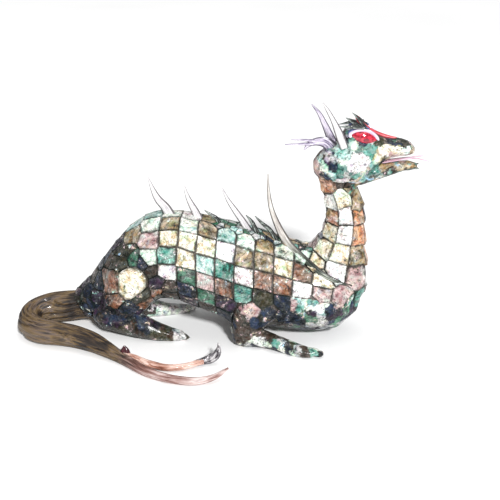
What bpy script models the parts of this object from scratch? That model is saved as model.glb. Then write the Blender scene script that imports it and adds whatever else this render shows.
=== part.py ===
"""A lying dragon clad in shell tiles, with horn spines set in its back and head and a wooden tail.

The frame is metres with +Z up. The dragon looks along +X and stands on Z = 0, and the origin is the middle
of the floor under it. Its pose is drawn in points, and POINT is the real length of one of them.
"""

import math

import bmesh
import bpy
import numpy as np
from mathutils import Matrix, Vector
from mathutils.bvhtree import BVHTree

# Driving dimensions, in metres.
FIGURE_LENGTH = 0.405  # from the tail's bend to the tip of the tongue
TILE_PITCH = 0.0187  # one shell tile and its joint, along the trunk
NECK_PITCH = 0.0255  # one lapped course of tiles up the neck
JOINT_WIDTH = 0.0016  # the sunk joint between two tiles
JOINT_DEPTH = 0.0012
LAP_STEP = 0.0022  # how far a course on the neck stands over the next one
FLUTE_DEPTH = 0.0011  # the grooves along the wooden tail
FLUTE_FADE = 0.0080  # where the tail's half-width is less than this, its grooves get shallower
FIT_GAP = 0.0003  # room between a set piece and its seat
SEAT_DEPTH = 0.0060  # how deep a spine, horn or shard is let into what carries it
BROW_SEAT = 0.0035
ROOT_DEPTH = 0.0120  # how deep the tail's root is let into the rump
SPINE_THICKNESS = 0.0036  # the slivers of horn along the back
SHARD_THICKNESS = 0.0030
QUILL_THICKNESS = 0.0044
HORN_THICKNESS = 0.0050
CREST_THICKNESS = 0.0036
BROW_THICKNESS = 0.0028
THIN_TIP = 0.25  # the share of its thickness that a blade keeps at its tip
CORAL_THICKNESS = 0.0034  # the red strip down the forehead
TONGUE_THICKNESS = 0.0018
CHIN_THICKNESS = 0.0060
THORN_THICKNESS = 0.0056
EYE_LENGTH = 0.0240
EYE_HEIGHT = 0.0108
EYE_BULGE = 0.0090
RIM_MARGIN = 0.0024  # how far the pale eye rim shows round the eye
RIM_DEPTH = 0.0030  # how far the rim stands out of the head, and reaches into it

# The pose is drawn in points on a figure this many points long.
POINTS_LONG = 405
POINT = FIGURE_LENGTH / POINTS_LONG  # metres

FIRST_COURSE = 0.6  # the part of a tile that shows at the root of the tail
ROOT_RISE = 0.5  # how steeply the tail's root runs up into the rump
TAIL_TWIST = 2.2  # how far the tail's grooves wind round it, in radians
TAIL_RINGS = 40
PRONG_RINGS = 12

# Sections take their direction over this much of the path on each side.
TRUNK_EASE = 45 * POINT
NECK_EASE = 12 * POINT
LIMB_EASE = 10 * POINT
THIN_EASE = 4 * POINT

CURVE_STEPS = 24  # how finely a curve is followed between two stations
SLIVER = 0.00002  # edges shorter than this are closed up
FLAT_ANGLE = 2.5  # facets within this many degrees are one
CREASE_ANGLE = 20  # facets that meet at more than this keep a crisp edge

TORSO_SIDES = 16
NECK_SIDES = 14
HEAD_SIDES = 14
LIMB_SIDES = 10
TOE_SIDES = 5
TAIL_SIDES = 10
BLADE_SIDES = 6
SHARD_SIDES = 4
EYE_SIDES = 8

# Each station of a form is x, y, z, half-width across and half-height, in points.
TORSO = [
    (-143.3, 0, 18.4, 17, 18.5),
    (-121.7, 0, 30.5, 24, 24.3),
    (-100.4, 0, 52.7, 32, 29.3),
    (-82.6, 0, 65.3, 38, 36.9),
    (-62.5, 0, 77.9, 42, 44.8),
    (-39.4, 0, 78.8, 44, 46.0),
    (-10.1, 0, 71.1, 45, 47.5),
    (20.3, 0, 62.3, 46, 49.1),
    (51.3, 0, 55.1, 45, 46.7),
    (81.4, 0, 48.0, 42, 44.3),
    (109.3, 0, 41.8, 37, 37.6),
    (126.6, 0, 38.6, 29, 29.3),
    (139.7, 0, 38.6, 14, 13.0),
]
NECK = [
    (100.0, 0, 36.0, 30, 32.0),
    (107.1, 0, 49.1, 35, 38.6),
    (113.3, 0, 71.6, 30, 36.6),
    (117.6, 0, 89.3, 25, 29.7),
    (121.8, 0, 106.7, 21, 23.0),
    (123.4, 0, 126.3, 18, 19.8),
    (120.2, 0, 145.9, 17, 18.2),
    (113.5, 0, 162.5, 16, 17.0),
    (107.0, 0, 174.0, 12, 13.0),
]
HEAD = [
    (90.5, 0, 176.5, 6, 6.0),
    (94.1, 0, 176.7, 11, 11.5),
    (101.7, 0, 177.9, 16, 18.0),
    (111.7, 0, 178.7, 18.5, 21.2),
    (122.0, 0, 181.0, 19.5, 22.7),
    (131.2, 0, 184.7, 19, 21.0),
    (139.8, 0, 190.0, 17, 17.5),
    (148.9, 0, 194.6, 14.5, 14.2),
    (158.1, 0, 197.3, 12.5, 11.0),
    (167.4, 0, 198.1, 11.5, 9.0),
    (174.9, 0, 197.8, 11, 7.5),
    (180.5, 0, 196.5, 9, 5.9),
    (184.3, 0, 195.1, 5, 2.8),
]
JAW = [
    (118.0, 0, 170.5, 10, 9.0),
    (127.4, 0, 168.1, 13, 10.3),
    (140.9, 0, 170.6, 12, 8.4),
    (153.5, 0, 173.9, 10.5, 6.9),
    (165.0, 0, 177.3, 9.5, 5.8),
    (174.2, 0, 180.0, 8.5, 4.7),
    (182.1, 0, 181.2, 7, 3.8),
    (188.2, 0, 180.4, 4, 2.1),
]
BROW = [
    (114.0, 0, 195.0, 8, 6.0),
    (121.0, 0, 200.5, 13, 10.5),
    (128.5, 0, 205.0, 15, 16.0),
    (136.0, 0, 205.0, 15, 14.0),
    (144.0, 0, 202.5, 14.5, 10.8),
    (152.0, 0, 200.5, 13, 9.0),
    (160.0, 0, 198.7, 11, 8.8),
    (168.0, 0, 198.2, 9, 8.0),
]
HAUNCH_RIGHT = [
    (-70.0, -12, 88.0, 16, 15.0),
    (-78.0, -21, 72.0, 24, 27.0),
    (-87.0, -25, 54.0, 25, 28.0),
    (-97.0, -25, 36.0, 21, 22.0),
    (-106.0, -24, 21.0, 15, 16.0),
    (-112.0, -23, 14.0, 9, 8.0),
]
HIND_FOOT_RIGHT = [
    (-126.0, -22, 20.0, 7, 8.0),
    (-117.0, -25, 20.5, 13, 14.5),
    (-101.1, -29, 20.0, 14, 15.0),
    (-83.6, -32, 15.2, 12.5, 13.4),
    (-68.2, -34, 10.8, 10.5, 10.8),
    (-53.1, -34, 7.0, 9, 8.0),
    (-42.2, -33, 5.0, 7.5, 6.0),
    (-36.0, -32.5, 4.2, 6, 4.8),
]
HAUNCH_LEFT = [
    (-70.0, 12, 88.0, 16, 15.0),
    (-78.0, 21, 72.0, 24, 27.0),
    (-87.0, 25, 54.0, 25, 28.0),
    (-96.0, 23, 36.0, 20, 21.0),
    (-103.0, 20, 20.0, 14, 15.0),
    (-108.0, 18, 13.0, 9, 8.0),
]
HIND_FOOT_LEFT = [
    (-114.0, 16, 16.0, 8, 9.0),
    (-101.0, 15, 16.0, 12, 13.0),
    (-87.8, 14, 13.0, 12, 11.5),
    (-75.4, 16, 9.2, 10, 10.0),
    (-60.1, 19, 6.2, 7.5, 7.2),
    (-47.3, 25, 4.6, 5.6, 5.4),
    (-38.0, 29, 3.5, 4.2, 4.2),
]
UPPER_ARM_RIGHT = [
    (60.0, -22, 76.0, 13, 14.0),
    (53.0, -28, 64.0, 19, 24.0),
    (42.0, -33, 47.0, 18, 25.0),
    (32.0, -37, 31.0, 15, 19.0),
    (26.0, -38, 16.0, 12, 13.0),
    (23.0, -38, 6.0, 8, 8.0),
]
FOREARM_RIGHT = [
    (18.0, -38, 8.0, 6, 7.0),
    (26.3, -38, 9.4, 10, 11.0),
    (38.4, -39, 10.0, 9.5, 10.2),
    (53.6, -43, 9.2, 8, 8.2),
    (66.8, -48, 7.3, 7.5, 7.4),
    (79.9, -53, 5.4, 8, 6.4),
    (90.0, -55, 4.2, 7.5, 5.2),
    (96.0, -55, 3.8, 6, 4.4),
]
TAIL = [
    (-143.3, 0, 18.0, 14, 15.5),
    (-162, -2, 15.6, 15.5, 16.3),
    (-179, -7, 14.8, 15, 15.6),
    (-192, -19, 13.8, 13.5, 14.6),
    (-191, -37, 12.8, 12.5, 13.6),
    (-176, -49, 12.0, 12, 12.8),
    (-158, -52, 11.4, 11.6, 12.2),
    (-141, -55, 10.6, 11, 11.4),
    (-122, -62, 9.4, 9.8, 10.0),
    (-106, -71, 8.0, 8, 8.2),
    (-91, -80, 6.2, 6, 6.4),
    (-78, -89, 5.2, 5.4, 5.4),
    (-56, -105, 4.4, 4.5, 4.6),
    (-32, -114, 4.0, 4.2, 4.2),
    (-10.5, -116, 4.0, 3.7, 3.9),
    (6, -109, 5.0, 2.8, 3.0),
    (18.0, -97, 8.0, 1.0, 1.1),
]
UPPER_PRONG = [
    (-96.0, -77, 7.4, 3.0, 3.2),
    (-76.0, -84, 6.6, 4.0, 4.0),
    (-60.0, -91, 5.4, 3.8, 3.8),
    (-42.0, -95, 4.6, 3.4, 3.4),
    (-24.0, -91, 4.4, 3.0, 3.2),
    (-8.0, -82, 5.2, 3.0, 3.2),
]

# A foot's toes: x, y and z of their common root, heading in degrees, length, radius, fan and count.
TOES = {
    "hind_right": (-44.0, -33.0, 5.4, -3, 17, 3.6, 13, 3),
    "hind_left": (-43.0, 27.0, 4.2, 24, 15, 2.8, 12, 3),
    "fore_right": (91.0, -55.0, 4.8, 6, 19, 3.3, 14, 4),
    "fore_left": (91.0, 55.0, 4.8, -6, 19, 3.3, 14, 4),
}

# A toe's stations: the share of its length, its rise and its thickness, both in shares of its radius.
TOE_PROFILE = ((0, 0, 1), (0.35, 0.5, 1.05), (0.62, -0.2, 0.8), (0.82, -0.45, 0.5), (1, -0.7, 0.2))
TOE_SINK = 0.4  # how far the floor cuts into the toes, in points
OUTER_TOE = 0.12  # how much shorter each toe is for every place it lies off the middle

# Each station of a blade is x, y, z and its width, in points, from its seat to its tip.
BACK_SPINES = [
    [(-50, 0, 122, 12), (-54, 0, 130, 10), (-61, 0, 138.5, 8), (-65.5, 0, 148, 5), (-70, 0, 161, 1)],
    [(-20, 0, 117, 9), (-24.5, 0, 127, 8), (-29, 0, 136, 6), (-32, 0, 143.6, 4), (-34.6, 0, 154, 1)],
    [(28, 0, 109, 8), (22, 0, 119, 7), (15, 0, 129.4, 6), (8.4, 0, 139.7, 4), (2.7, 0, 152, 1)],
]
BACK_SHARDS = [
    [(0.7, -4, 115, 5), (-3.2, -4, 121.9, 4.5), (-9.1, -4, 125.9, 3), (-14.9, -4, 130, 0.8)],
    [(38, -4, 107, 5), (32.3, -4, 118.9, 4), (26.4, -4, 126.1, 0.8)],
    [(56.2, -5, 101, 5), (50.2, -5, 111.5, 4.5), (42.2, -5, 118.6, 3.4), (35.3, -5, 125.8, 0.8)],
]
HORN_RIGHT = [
    (119.2, -12, 198.6, 10),
    (116.1, -12.5, 206.3, 9.5),
    (112.5, -13, 216, 7.5),
    (108, -14, 225.6, 5),
    (102.7, -15, 235.2, 3.5),
    (97.9, -16, 242.7, 1),
]
HORN_LEFT = [
    (109.5, 9, 195, 10),
    (104.9, 9.5, 205.2, 8),
    (99.9, 10.5, 215.6, 6),
    (94.3, 11.5, 225.8, 4),
    (87, 12.5, 234.1, 1),
]
NAPE_CREST = [
    (108, -2, 196, 13),
    (101.7, -3, 201.5, 11),
    (93.4, -4, 202.6, 8),
    (86, -5, 200, 5),
    (81.5, -6, 194.6, 1),
]
WHISKERS = [
    [(92, -4.5, 203, 4), (82, -5.5, 204.2, 2.4), (69.1, -6, 204.6, 1)],
    [(90, -5, 200.5, 4), (78, -6, 200.4, 2.4), (63.6, -7, 199.8, 1)],
]
BROW_SHARDS = [
    [(137, -5.6, 218.5, 6), (131.1, -6, 225.8, 4.5), (125.2, -7, 231.9, 0.8)],
    [(136, -8.4, 218, 6), (127, -9.2, 222.6, 5), (119.4, -10.4, 227.6, 0.8)],
    [(133.5, -11, 219, 5), (124.3, -12.8, 220, 6), (113.2, -15, 220.8, 0.8)],
]
BROW_SLUMP = 0.32  # how much lower the left row lies, for each point back from a shard's root
# The quill stands free above the back and then lies on the skin of the right shoulder, whose y it takes.
QUILL_FREE = [
    (47.4, 0, 167.7, 1),
    (48, -1, 151.5, 3),
    (50.9, -2, 133.5, 5),
    (57.7, -3, 115.5, 7),
    (66.8, -6, 100, 9),
]
QUILL_SEATED = [(78.5, 91.5, 8), (91.6, 83, 7.5), (105.5, 74.5, 6.5), (119.3, 69, 5), (132, 64, 2)]

# These lie flat: x, y, z and half-width across, in points.
STRIP = [
    (129.6, 0, 226, 1.2),
    (131.5, 0, 222.6, 3.6),
    (135.2, 0, 219.6, 3.8),
    (140, 0, 216, 3.4),
    (146, 0, 212.6, 3),
    (153.5, 0, 209.6, 2.4),
    (161, 0, 207.4, 1.6),
    (167, 0, 206.2, 0.8),
]
TONGUE = [
    (146, 0, 181, 4),
    (156.2, 0, 183.5, 4.5),
    (167.3, 0, 185.6, 4),
    (177.4, 0, 187.3, 3),
    (184, 0, 188, 2.4),
]
TONGUE_FORKS = [
    [(181, -0.8, 187.8, 1.5), (189, -2.6, 188, 1), (199, -4.6, 186.4, 0.5)],
    [(181, 0.8, 187.8, 1.5), (187, 2.6, 188.6, 1), (194, 4.4, 188.8, 0.5)],
]
CHIN_BARB = [(174, 0, 177.6, 5), (180, 0, 178.2, 6), (185, 0, 178.6, 4.5), (190, 0, 177.2, 1)]
CHIN_SPUR = [(181, 0, 179, 4), (186, 0, 181.2, 2.6), (189.5, 0, 182.8, 0.8)]
TAIL_BARB = [
    (-14, -84.5, 4.6, 7),
    (-7, -81, 5.2, 8.5),
    (-0.5, -78.5, 6.8, 10),
    (4.6, -76.6, 11, 8.5),
    (6.6, -75.6, 17, 4.5),
    (6, -76, 22.6, 1),
]
TAIL_THORN = [(-84, -81, 2.5, 11), (-84, -80.2, 8, 11.6), (-84, -79.4, 12.6, 8.4), (-84.4, -78.8, 16.6, 2)]

# The eye: its place along and up the head, in points, and how far it droops forwards, in degrees.
EYE_X = 136.7
EYE_Z = 209.3
EYE_DROOP = 11

# An almond's rings lie at the sines of even angles to this many radians, and the power draws out its ends.
ALMOND_SWEEP = 1.3
ALMOND_POINT = 0.7
ALMOND_RINGS = 7


def spline(stations, count, ease=THIN_EASE):
    """Rows on a Catmull-Rom curve through the stations, in metres.

    count is how many rows at even steps, or the shares of the curve's length that they lie at. A row is x, y,
    z, half-width, half-height and the path's direction there, which is taken over ease before and after it,
    so that wide sections do not cross in a bend.
    """
    table = np.array(stations, float) * POINT
    padded = np.vstack([2 * table[0] - table[1], table, 2 * table[-1] - table[-2]])
    rows = []
    for i in range(len(table) - 1):
        a, b, c, d = padded[i : i + 4]
        for t in np.linspace(0, 1, CURVE_STEPS, endpoint=False):
            bend = (2 * a - 5 * b + 4 * c - d) * t**2 + (3 * b - a - 3 * c + d) * t**3
            rows.append(0.5 * (2 * b + (c - a) * t + bend))
    rows = np.array(rows + [table[-1]])
    steps = np.linalg.norm(np.diff(rows[:, :3], axis=0), axis=1)
    run = np.concatenate([[0], np.cumsum(steps)])
    wanted = np.asarray(count, float) * run[-1] if np.ndim(count) else np.linspace(0, run[-1], count)
    at, before, after = (
        np.stack([np.interp(wanted + step, run, column) for column in rows.T], axis=1)
        for step in (0, -ease, ease)
    )
    along = after[:, :3] - before[:, :3]
    return np.hstack([at, along / np.linalg.norm(along, axis=1)[:, None]])


def path_length(stations):
    """The length of the curve through the stations, in metres."""
    points = spline(stations, CURVE_STEPS * len(stations))[:, :3]
    return float(np.linalg.norm(np.diff(points, axis=0), axis=1).sum())


def loft(name, rows, angles, inset=0.0, side=(0, 1, 0), twist=0.0):
    """A closed skin over the sections in rows, as spline gives them.

    The half-width is measured towards side, which is None on a path that keeps its sections upright. inset
    draws corners in, one value for each row and each angle, and twist turns the sections about the path from
    its first end to its last.
    """
    along = rows[:, -3:]
    across = np.cross((0, 0, 1), along) if side is None else side - (along @ side)[:, None] * along
    across /= np.linalg.norm(across, axis=1)[:, None]
    upward = np.cross(along, across)
    count = len(rows)
    turned = angles[None, :] + np.linspace(0, twist, count)[:, None]
    drawn_in = np.broadcast_to(inset, (count, len(angles)))
    half_width = rows[:, 3:4] - drawn_in
    half_height = rows[:, 4:5] - drawn_in
    points = (
        rows[:, None, :3]
        + (half_width * np.cos(turned))[:, :, None] * across[:, None, :]
        + (half_height * np.sin(turned))[:, :, None] * upward[:, None, :]
    )
    shape = bmesh.new()
    rings = [[shape.verts.new(point) for point in ring] for ring in points]
    for low, top in zip(rings, rings[1:]):
        for i in range(len(low)):
            j = (i + 1) % len(low)
            shape.faces.new((low[i], low[j], top[j], top[i]))
    shape.faces.new(rings[0][::-1])
    shape.faces.new(rings[-1])
    return finish_mesh(name, shape)


def finish_mesh(name, shape):
    """An object in the workshop collection from a bmesh, in triangles that face outwards."""
    bmesh.ops.triangulate(shape, faces=shape.faces)
    bmesh.ops.recalc_face_normals(shape, faces=shape.faces)
    mesh = bpy.data.meshes.new(name)
    shape.to_mesh(mesh)
    shape.free()
    made = bpy.data.objects.new(name, mesh)
    made.hide_render = True
    made.display_type = "WIRE"
    bpy.data.collections["workshop"].objects.link(made)
    return made


def even_angles(sides):
    """The corners of a section with this many equal sides."""
    return (np.arange(sides) + 0.5) * 2 * math.pi / sides


def grown(rows, margin):
    """The same sections with this much more half-width and half-height, and longer by it at both ends."""
    wider = rows.copy()
    wider[:, 3:5] += margin
    for end, inner in ((0, 1), (-1, -2)):
        outward = wider[end, :3] - wider[inner, :3]
        wider[end, :3] += margin * outward / np.linalg.norm(outward)
    return wider


def boolean(target, others, operation):
    """Join closed shapes to the target, or cut them from it, and use them up."""
    for other in others:
        modifier = target.modifiers.new(other.name, "BOOLEAN")
        modifier.operation = operation
        modifier.solver = "EXACT"
        modifier.object = other
    bpy.context.view_layer.update()
    evaluated = target.evaluated_get(bpy.context.evaluated_depsgraph_get())
    mesh = bpy.data.meshes.new_from_object(evaluated)
    target.modifiers.clear()
    target.data = mesh
    for other in others:
        bpy.data.objects.remove(other)
    return target


def clear_slivers(piece):
    """Drop the slivers that cuts leave, and merge facets that are flat together."""
    shape = bmesh.new()
    shape.from_mesh(piece.data)
    bmesh.ops.triangulate(shape, faces=shape.faces)
    bmesh.ops.dissolve_degenerate(shape, edges=shape.edges, dist=SLIVER)
    flat = math.radians(FLAT_ANGLE)
    bmesh.ops.dissolve_limit(shape, angle_limit=flat, verts=shape.verts, edges=shape.edges)
    bmesh.ops.triangulate(shape, faces=shape.faces)
    shape.to_mesh(piece.data)
    shape.free()


def tiled_trunk():
    """The trunk: courses of flat tiles, one tile to a facet, with a sunk joint between the courses."""
    length = path_length(TORSO)
    centres = np.arange(FIRST_COURSE, length / TILE_PITCH) * TILE_PITCH
    centres = centres[centres < length - JOINT_WIDTH]
    joints = centres[:, None] + np.array([-0.5, 0, 0.5]) * JOINT_WIDTH
    lines = np.concatenate([[0], joints.ravel(), [length]])
    depth = np.concatenate([[0], np.tile([0, JOINT_DEPTH, 0], len(centres)), [0]])
    rows = spline(TORSO, lines / length, ease=TRUNK_EASE)
    return loft("trunk", rows, even_angles(TORSO_SIDES), depth[:, None])


def lapped_neck():
    """The neck: courses that each stand out at their lower edge over the one below."""
    length = path_length(NECK)
    edges = np.arange(NECK_PITCH, length - JOINT_WIDTH, NECK_PITCH)
    laps = edges[:, None] + np.array([-0.5, 0.5]) * JOINT_WIDTH
    lines = np.concatenate([[0], laps.ravel(), [length]])
    depth = np.concatenate([[0], np.tile([LAP_STEP, 0], len(edges)), [LAP_STEP]])
    rows = spline(NECK, lines / length, ease=NECK_EASE)
    return loft("neck", rows, even_angles(NECK_SIDES), depth[:, None])


def toes(name, x, y, z, heading, length, radius, fan, count):
    """The toes of a foot, fanned about its heading, each arched and drawn to a claw at the floor."""
    made = []
    for k in range(count):
        off_centre = k - (count - 1) / 2
        turn = math.radians(heading + fan * off_centre)
        reach = length * (1 - OUTER_TOE * abs(off_centre))
        stations = []
        for share, rise, size in TOE_PROFILE:
            run = reach * share
            thick = size * radius
            low = max(z + rise * radius, thick) - TOE_SINK
            stations.append((x + run * math.cos(turn), y + run * math.sin(turn), low, thick, thick))
        made.append(loft(f"{name}_toe_{k}", spline(stations, 5), even_angles(TOE_SIDES)))
    return made


def mirrored(stations):
    """The same stations on the dragon's other side."""
    return [(x, -y, *rest) for x, y, *rest in stations]


def slumped(stations):
    """A brow shard's stations on the left side, where the row lies lower the further back it reaches."""
    root = stations[0][0]
    return [(x, y, z - BROW_SLUMP * (root - x), width) for x, y, z, width in mirrored(stations)]


def make_body():
    """Trunk, neck, head, jaw, brow and legs, joined as one."""
    limbs = {
        "haunch_right": (HAUNCH_RIGHT, 8),
        "hind_foot_right": (HIND_FOOT_RIGHT, 9),
        "haunch_left": (HAUNCH_LEFT, 8),
        "hind_foot_left": (HIND_FOOT_LEFT, 8),
        "upper_arm_right": (UPPER_ARM_RIGHT, 7),
        "forearm_right": (FOREARM_RIGHT, 9),
        "upper_arm_left": (mirrored(UPPER_ARM_RIGHT), 7),
        "forearm_left": (mirrored(FOREARM_RIGHT), 9),
    }
    forms = [
        lapped_neck(),
        loft("head", spline(HEAD, 17, ease=LIMB_EASE), even_angles(HEAD_SIDES)),
        loft("jaw", spline(JAW, 9), even_angles(LIMB_SIDES)),
        loft("brow", spline(BROW, 9), even_angles(LIMB_SIDES)),
    ]
    for name, (stations, count) in limbs.items():
        forms.append(loft(name, spline(stations, count, ease=LIMB_EASE), even_angles(LIMB_SIDES)))
    for name, foot in TOES.items():
        forms.extend(toes(name, *foot))
    return boolean(tiled_trunk(), forms, "UNION")


def make_tail(margin=0.0):
    """The fluted tail with its two prongs. A margin gives the cutter for its seat."""
    x, y, z, half_width, half_height = TAIL[0]
    deep = ROOT_DEPTH / POINT
    root = (x + deep, y, z + ROOT_RISE * deep, half_width, half_height)
    rows = grown(spline([root, *TAIL], TAIL_RINGS), margin)
    flutes = (np.arange(TAIL_SIDES) % 2)[None, :] * np.minimum(1, rows[:, 3:4] / FLUTE_FADE)
    trunk = loft("tail", rows, even_angles(TAIL_SIDES), FLUTE_DEPTH * flutes, side=None, twist=TAIL_TWIST)
    prong_rows = grown(spline(UPPER_PRONG, PRONG_RINGS), margin)
    prong = loft("upper_prong", prong_rows, even_angles(BLADE_SIDES), side=None)
    return boolean(trunk, [prong], "UNION")


def blade_rows(stations, thickness, seat=0.0, count=7):
    """Sections of a flat blade that is as wide as its stations say and thins towards its tip.

    seat is how far it carries on past its first station, into what holds it.
    """
    rows = spline(stations, count)
    if seat:
        root = rows[0].copy()
        root[:3] -= seat * root[-3:]
        rows = np.vstack([root, rows])
    width = rows[:, 3]
    thin = thickness * np.clip(width / width.max(), THIN_TIP, 1)
    return np.column_stack([rows[:, :3], thin / 2, width / 2, rows[:, -3:]])


def blade(name, stations, thickness, seat=SEAT_DEPTH, count=7, sides=BLADE_SIDES):
    """A flat blade, and the form that cuts its seat."""
    rows = blade_rows(stations, thickness, seat, count)
    return [loft(name, grown(rows, margin), even_angles(sides)) for margin in (0, FIT_GAP)]


def flat_strap(name, stations, thickness, count=8):
    """A strap that lies flat, and the form that cuts its seat."""
    rows = spline(stations, count)
    rows = np.column_stack([rows[:, :4], np.full(len(rows), thickness / 2), rows[:, -3:]])
    return [loft(name, grown(rows, margin), even_angles(BLADE_SIDES)) for margin in (0, FIT_GAP)]


def branched(stem, branches):
    """A piece and its cutter joined with those of its branches."""
    return [boolean(form, [branch[k] for branch in branches], "UNION") for k, form in enumerate(stem)]


def skin_point(skin, x, z):
    """Where a line along Y at x and z, in points, meets the body's right side, and which way it faces."""
    place, normal, _, _ = skin.ray_cast(Vector((x * POINT, -1, z * POINT)), Vector((0, 1, 0)))
    return place, normal


def almond(name, skin, side, margin, depth):
    """A pointed oval on the right (-1) or left (1) side of the head, larger than the eye by a margin."""
    place, normal = (Vector((v.x, -side * v.y, v.z)) for v in skin_point(skin, EYE_X, EYE_Z))
    droop = math.radians(EYE_DROOP)
    forward = Vector((math.cos(droop), 0, -math.sin(droop)))
    forward = (forward - forward.dot(normal) * normal).normalized()
    share = np.sin(np.linspace(-ALMOND_SWEEP, ALMOND_SWEEP, ALMOND_RINGS))[:, None]
    bow = (1 - share**2) ** ALMOND_POINT
    middle = np.array(place) + share * (EYE_LENGTH / 2 + margin) * np.array(forward)
    ones = np.ones_like(share)
    rows = np.hstack([middle, bow * depth, bow * (EYE_HEIGHT / 2 + margin), ones * np.array(forward)])
    return loft(name, rows, even_angles(EYE_SIDES), side=np.array(normal))


def floor_cut(target):
    """Cut off what lies below the floor, which leaves flat soles."""
    shape = bmesh.new()
    bmesh.ops.create_cube(shape, size=1.0, matrix=Matrix.Translation((0, 0, -0.5)))
    return boolean(target, [finish_mesh("floor", shape)], "DIFFERENCE")


def finish(name, hex_value, roughness, metallic=0.0):
    """A material with this sRGB colour."""
    material = bpy.data.materials.new(name)
    material.use_nodes = True
    shader = material.node_tree.nodes["Principled BSDF"]
    channels = [int(hex_value[i : i + 2], 16) / 255 for i in (0, 2, 4)]
    linear = [c / 12.92 if c <= 0.04045 else ((c + 0.055) / 1.055) ** 2.4 for c in channels]
    shader.inputs["Base Color"].default_value = (*linear, 1)
    shader.inputs["Roughness"].default_value = roughness
    shader.inputs["Metallic"].default_value = metallic
    return material


class Figure:
    """The pieces made so far, and the collection they belong in."""

    def __init__(self, collection):
        self.collection = collection
        self.pieces = []

    def keep(self, name, piece, material):
        """Take a finished piece out of the workshop, under its own name and with its material."""
        bpy.data.collections["workshop"].objects.unlink(piece)
        self.collection.objects.link(piece)
        clear_slivers(piece)
        piece.name = name
        piece.hide_render = False
        piece.display_type = "TEXTURED"
        piece.data.materials.clear()
        piece.data.materials.append(material)
        piece.data.shade_smooth()
        piece.data.set_sharp_from_angle(angle=math.radians(CREASE_ANGLE))
        self.pieces.append(piece)
        return piece

    def set_in(self, name, made, carrier, material):
        """Keep a piece and cut its seat from what carries it."""
        piece, cutter = made
        boolean(carrier, [cutter], "DIFFERENCE")
        return self.keep(name, piece, material)

    def stand_over_origin(self):
        """Move every piece so that the origin is under the middle of the whole figure."""
        corners = np.array([corner for piece in self.pieces for corner in piece.bound_box])
        low, high = corners.min(axis=0), corners.max(axis=0)
        shift = Matrix.Translation((-(low[0] + high[0]) / 2, -(low[1] + high[1]) / 2, -low[2]))
        for piece in self.pieces:
            piece.data.transform(shift)


def set_spines(figure, body, skin):
    """The horn slivers and dark shards along the back, and the long quill behind the shoulder."""
    horn = finish("spine_horn", "CFC8C6", 0.35)
    dark = finish("dark_shell", "3E4A48", 0.3)
    quill = finish("quill_horn", "8E8B84", 0.35)
    for k, stations in enumerate(BACK_SPINES, 1):
        figure.set_in(f"back_spine_{k}", blade("spine", stations, SPINE_THICKNESS), body, horn)
    for k, stations in enumerate(BACK_SHARDS, 1):
        shard = blade("shard", stations, SHARD_THICKNESS, count=4, sides=SHARD_SIDES)
        figure.set_in(f"back_shard_{k}", shard, body, dark)
    lying = [(x, skin_point(skin, x, z)[0].y / POINT, z, width) for x, z, width in QUILL_SEATED]
    figure.set_in("collar_quill", blade("quill", QUILL_FREE + lying, QUILL_THICKNESS, 0, 15), body, quill)


def set_head(figure, body, skin):
    """Horns, crest, brow shards, forehead strip, eyes, tongue and the barb under the chin."""
    horn = finish("pale_horn", "D8D2D0", 0.3)
    crest = finish("crest_horn", "8F8699", 0.35)
    dark = finish("brow_shell", "46555A", 0.3)
    coral = finish("red_coral", "B8323C", 0.35)
    glass = finish("red_glass", "B01832", 0.08)
    rim = finish("lilac_pearl", "D9CBE0", 0.3)
    flesh = finish("pink_horn", "C99AAE", 0.4)
    figure.set_in("horn_right", blade("horn", HORN_RIGHT, HORN_THICKNESS), body, horn)
    figure.set_in("horn_left", blade("horn", HORN_LEFT, HORN_THICKNESS), body, horn)
    whiskers = [blade("whisker", stations, CREST_THICKNESS / 2, 0, 5) for stations in WHISKERS]
    hooked = branched(blade("crest", NAPE_CREST, CREST_THICKNESS), whiskers)
    figure.set_in("nape_crest", hooked, body, crest)
    for side, place in (("right", BROW_SHARDS), ("left", [slumped(shard) for shard in BROW_SHARDS])):
        for k, stations in enumerate(place, 1):
            shard = blade("shard", stations, BROW_THICKNESS, BROW_SEAT, 4, SHARD_SIDES)
            figure.set_in(f"brow_shard_{side}_{k}", shard, body, dark)
    figure.set_in("forehead_strip", flat_strap("strip", STRIP, CORAL_THICKNESS, 10), body, coral)
    for side, way in (("right", -1), ("left", 1)):
        eye = [almond("eye", skin, way, margin, EYE_BULGE / 2 + margin) for margin in (0, FIT_GAP)]
        ring = [almond("rim", skin, way, RIM_MARGIN + margin, RIM_DEPTH + margin) for margin in (0, FIT_GAP)]
        socket = [almond("socket", skin, way, FIT_GAP, EYE_BULGE / 2 + FIT_GAP)]
        boolean(ring[0], socket, "DIFFERENCE")
        figure.set_in(f"eye_rim_{side}", ring, body, rim)
        figure.set_in(f"eye_{side}", eye, body, glass)
    forks = [flat_strap("fork", stations, TONGUE_THICKNESS / 2, 5) for stations in TONGUE_FORKS]
    forked = branched(flat_strap("tongue", TONGUE, TONGUE_THICKNESS, 7), forks)
    figure.set_in("tongue", forked, body, flesh)
    spur = blade("spur", CHIN_SPUR, CHIN_THICKNESS / 2)
    barb = branched(blade("barb", CHIN_BARB, CHIN_THICKNESS), [spur])
    figure.set_in("chin_barb", barb, body, dark)


def set_tail(figure, tail):
    """The silver barb that caps the upper prong, as thick as its end, and the dark red thorn at the fork."""
    silver = finish("dark_silver", "6E6A6E", 0.4)
    maroon = finish("maroon_horn", "5A2230", 0.3)
    prong_end = 2 * UPPER_PRONG[-1][3] * POINT
    figure.set_in("tail_barb", blade("barb", TAIL_BARB, prong_end, 0, 9), tail, silver)
    figure.set_in("tail_thorn", blade("thorn", TAIL_THORN, THORN_THICKNESS, 0, 6), tail, maroon)


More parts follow.
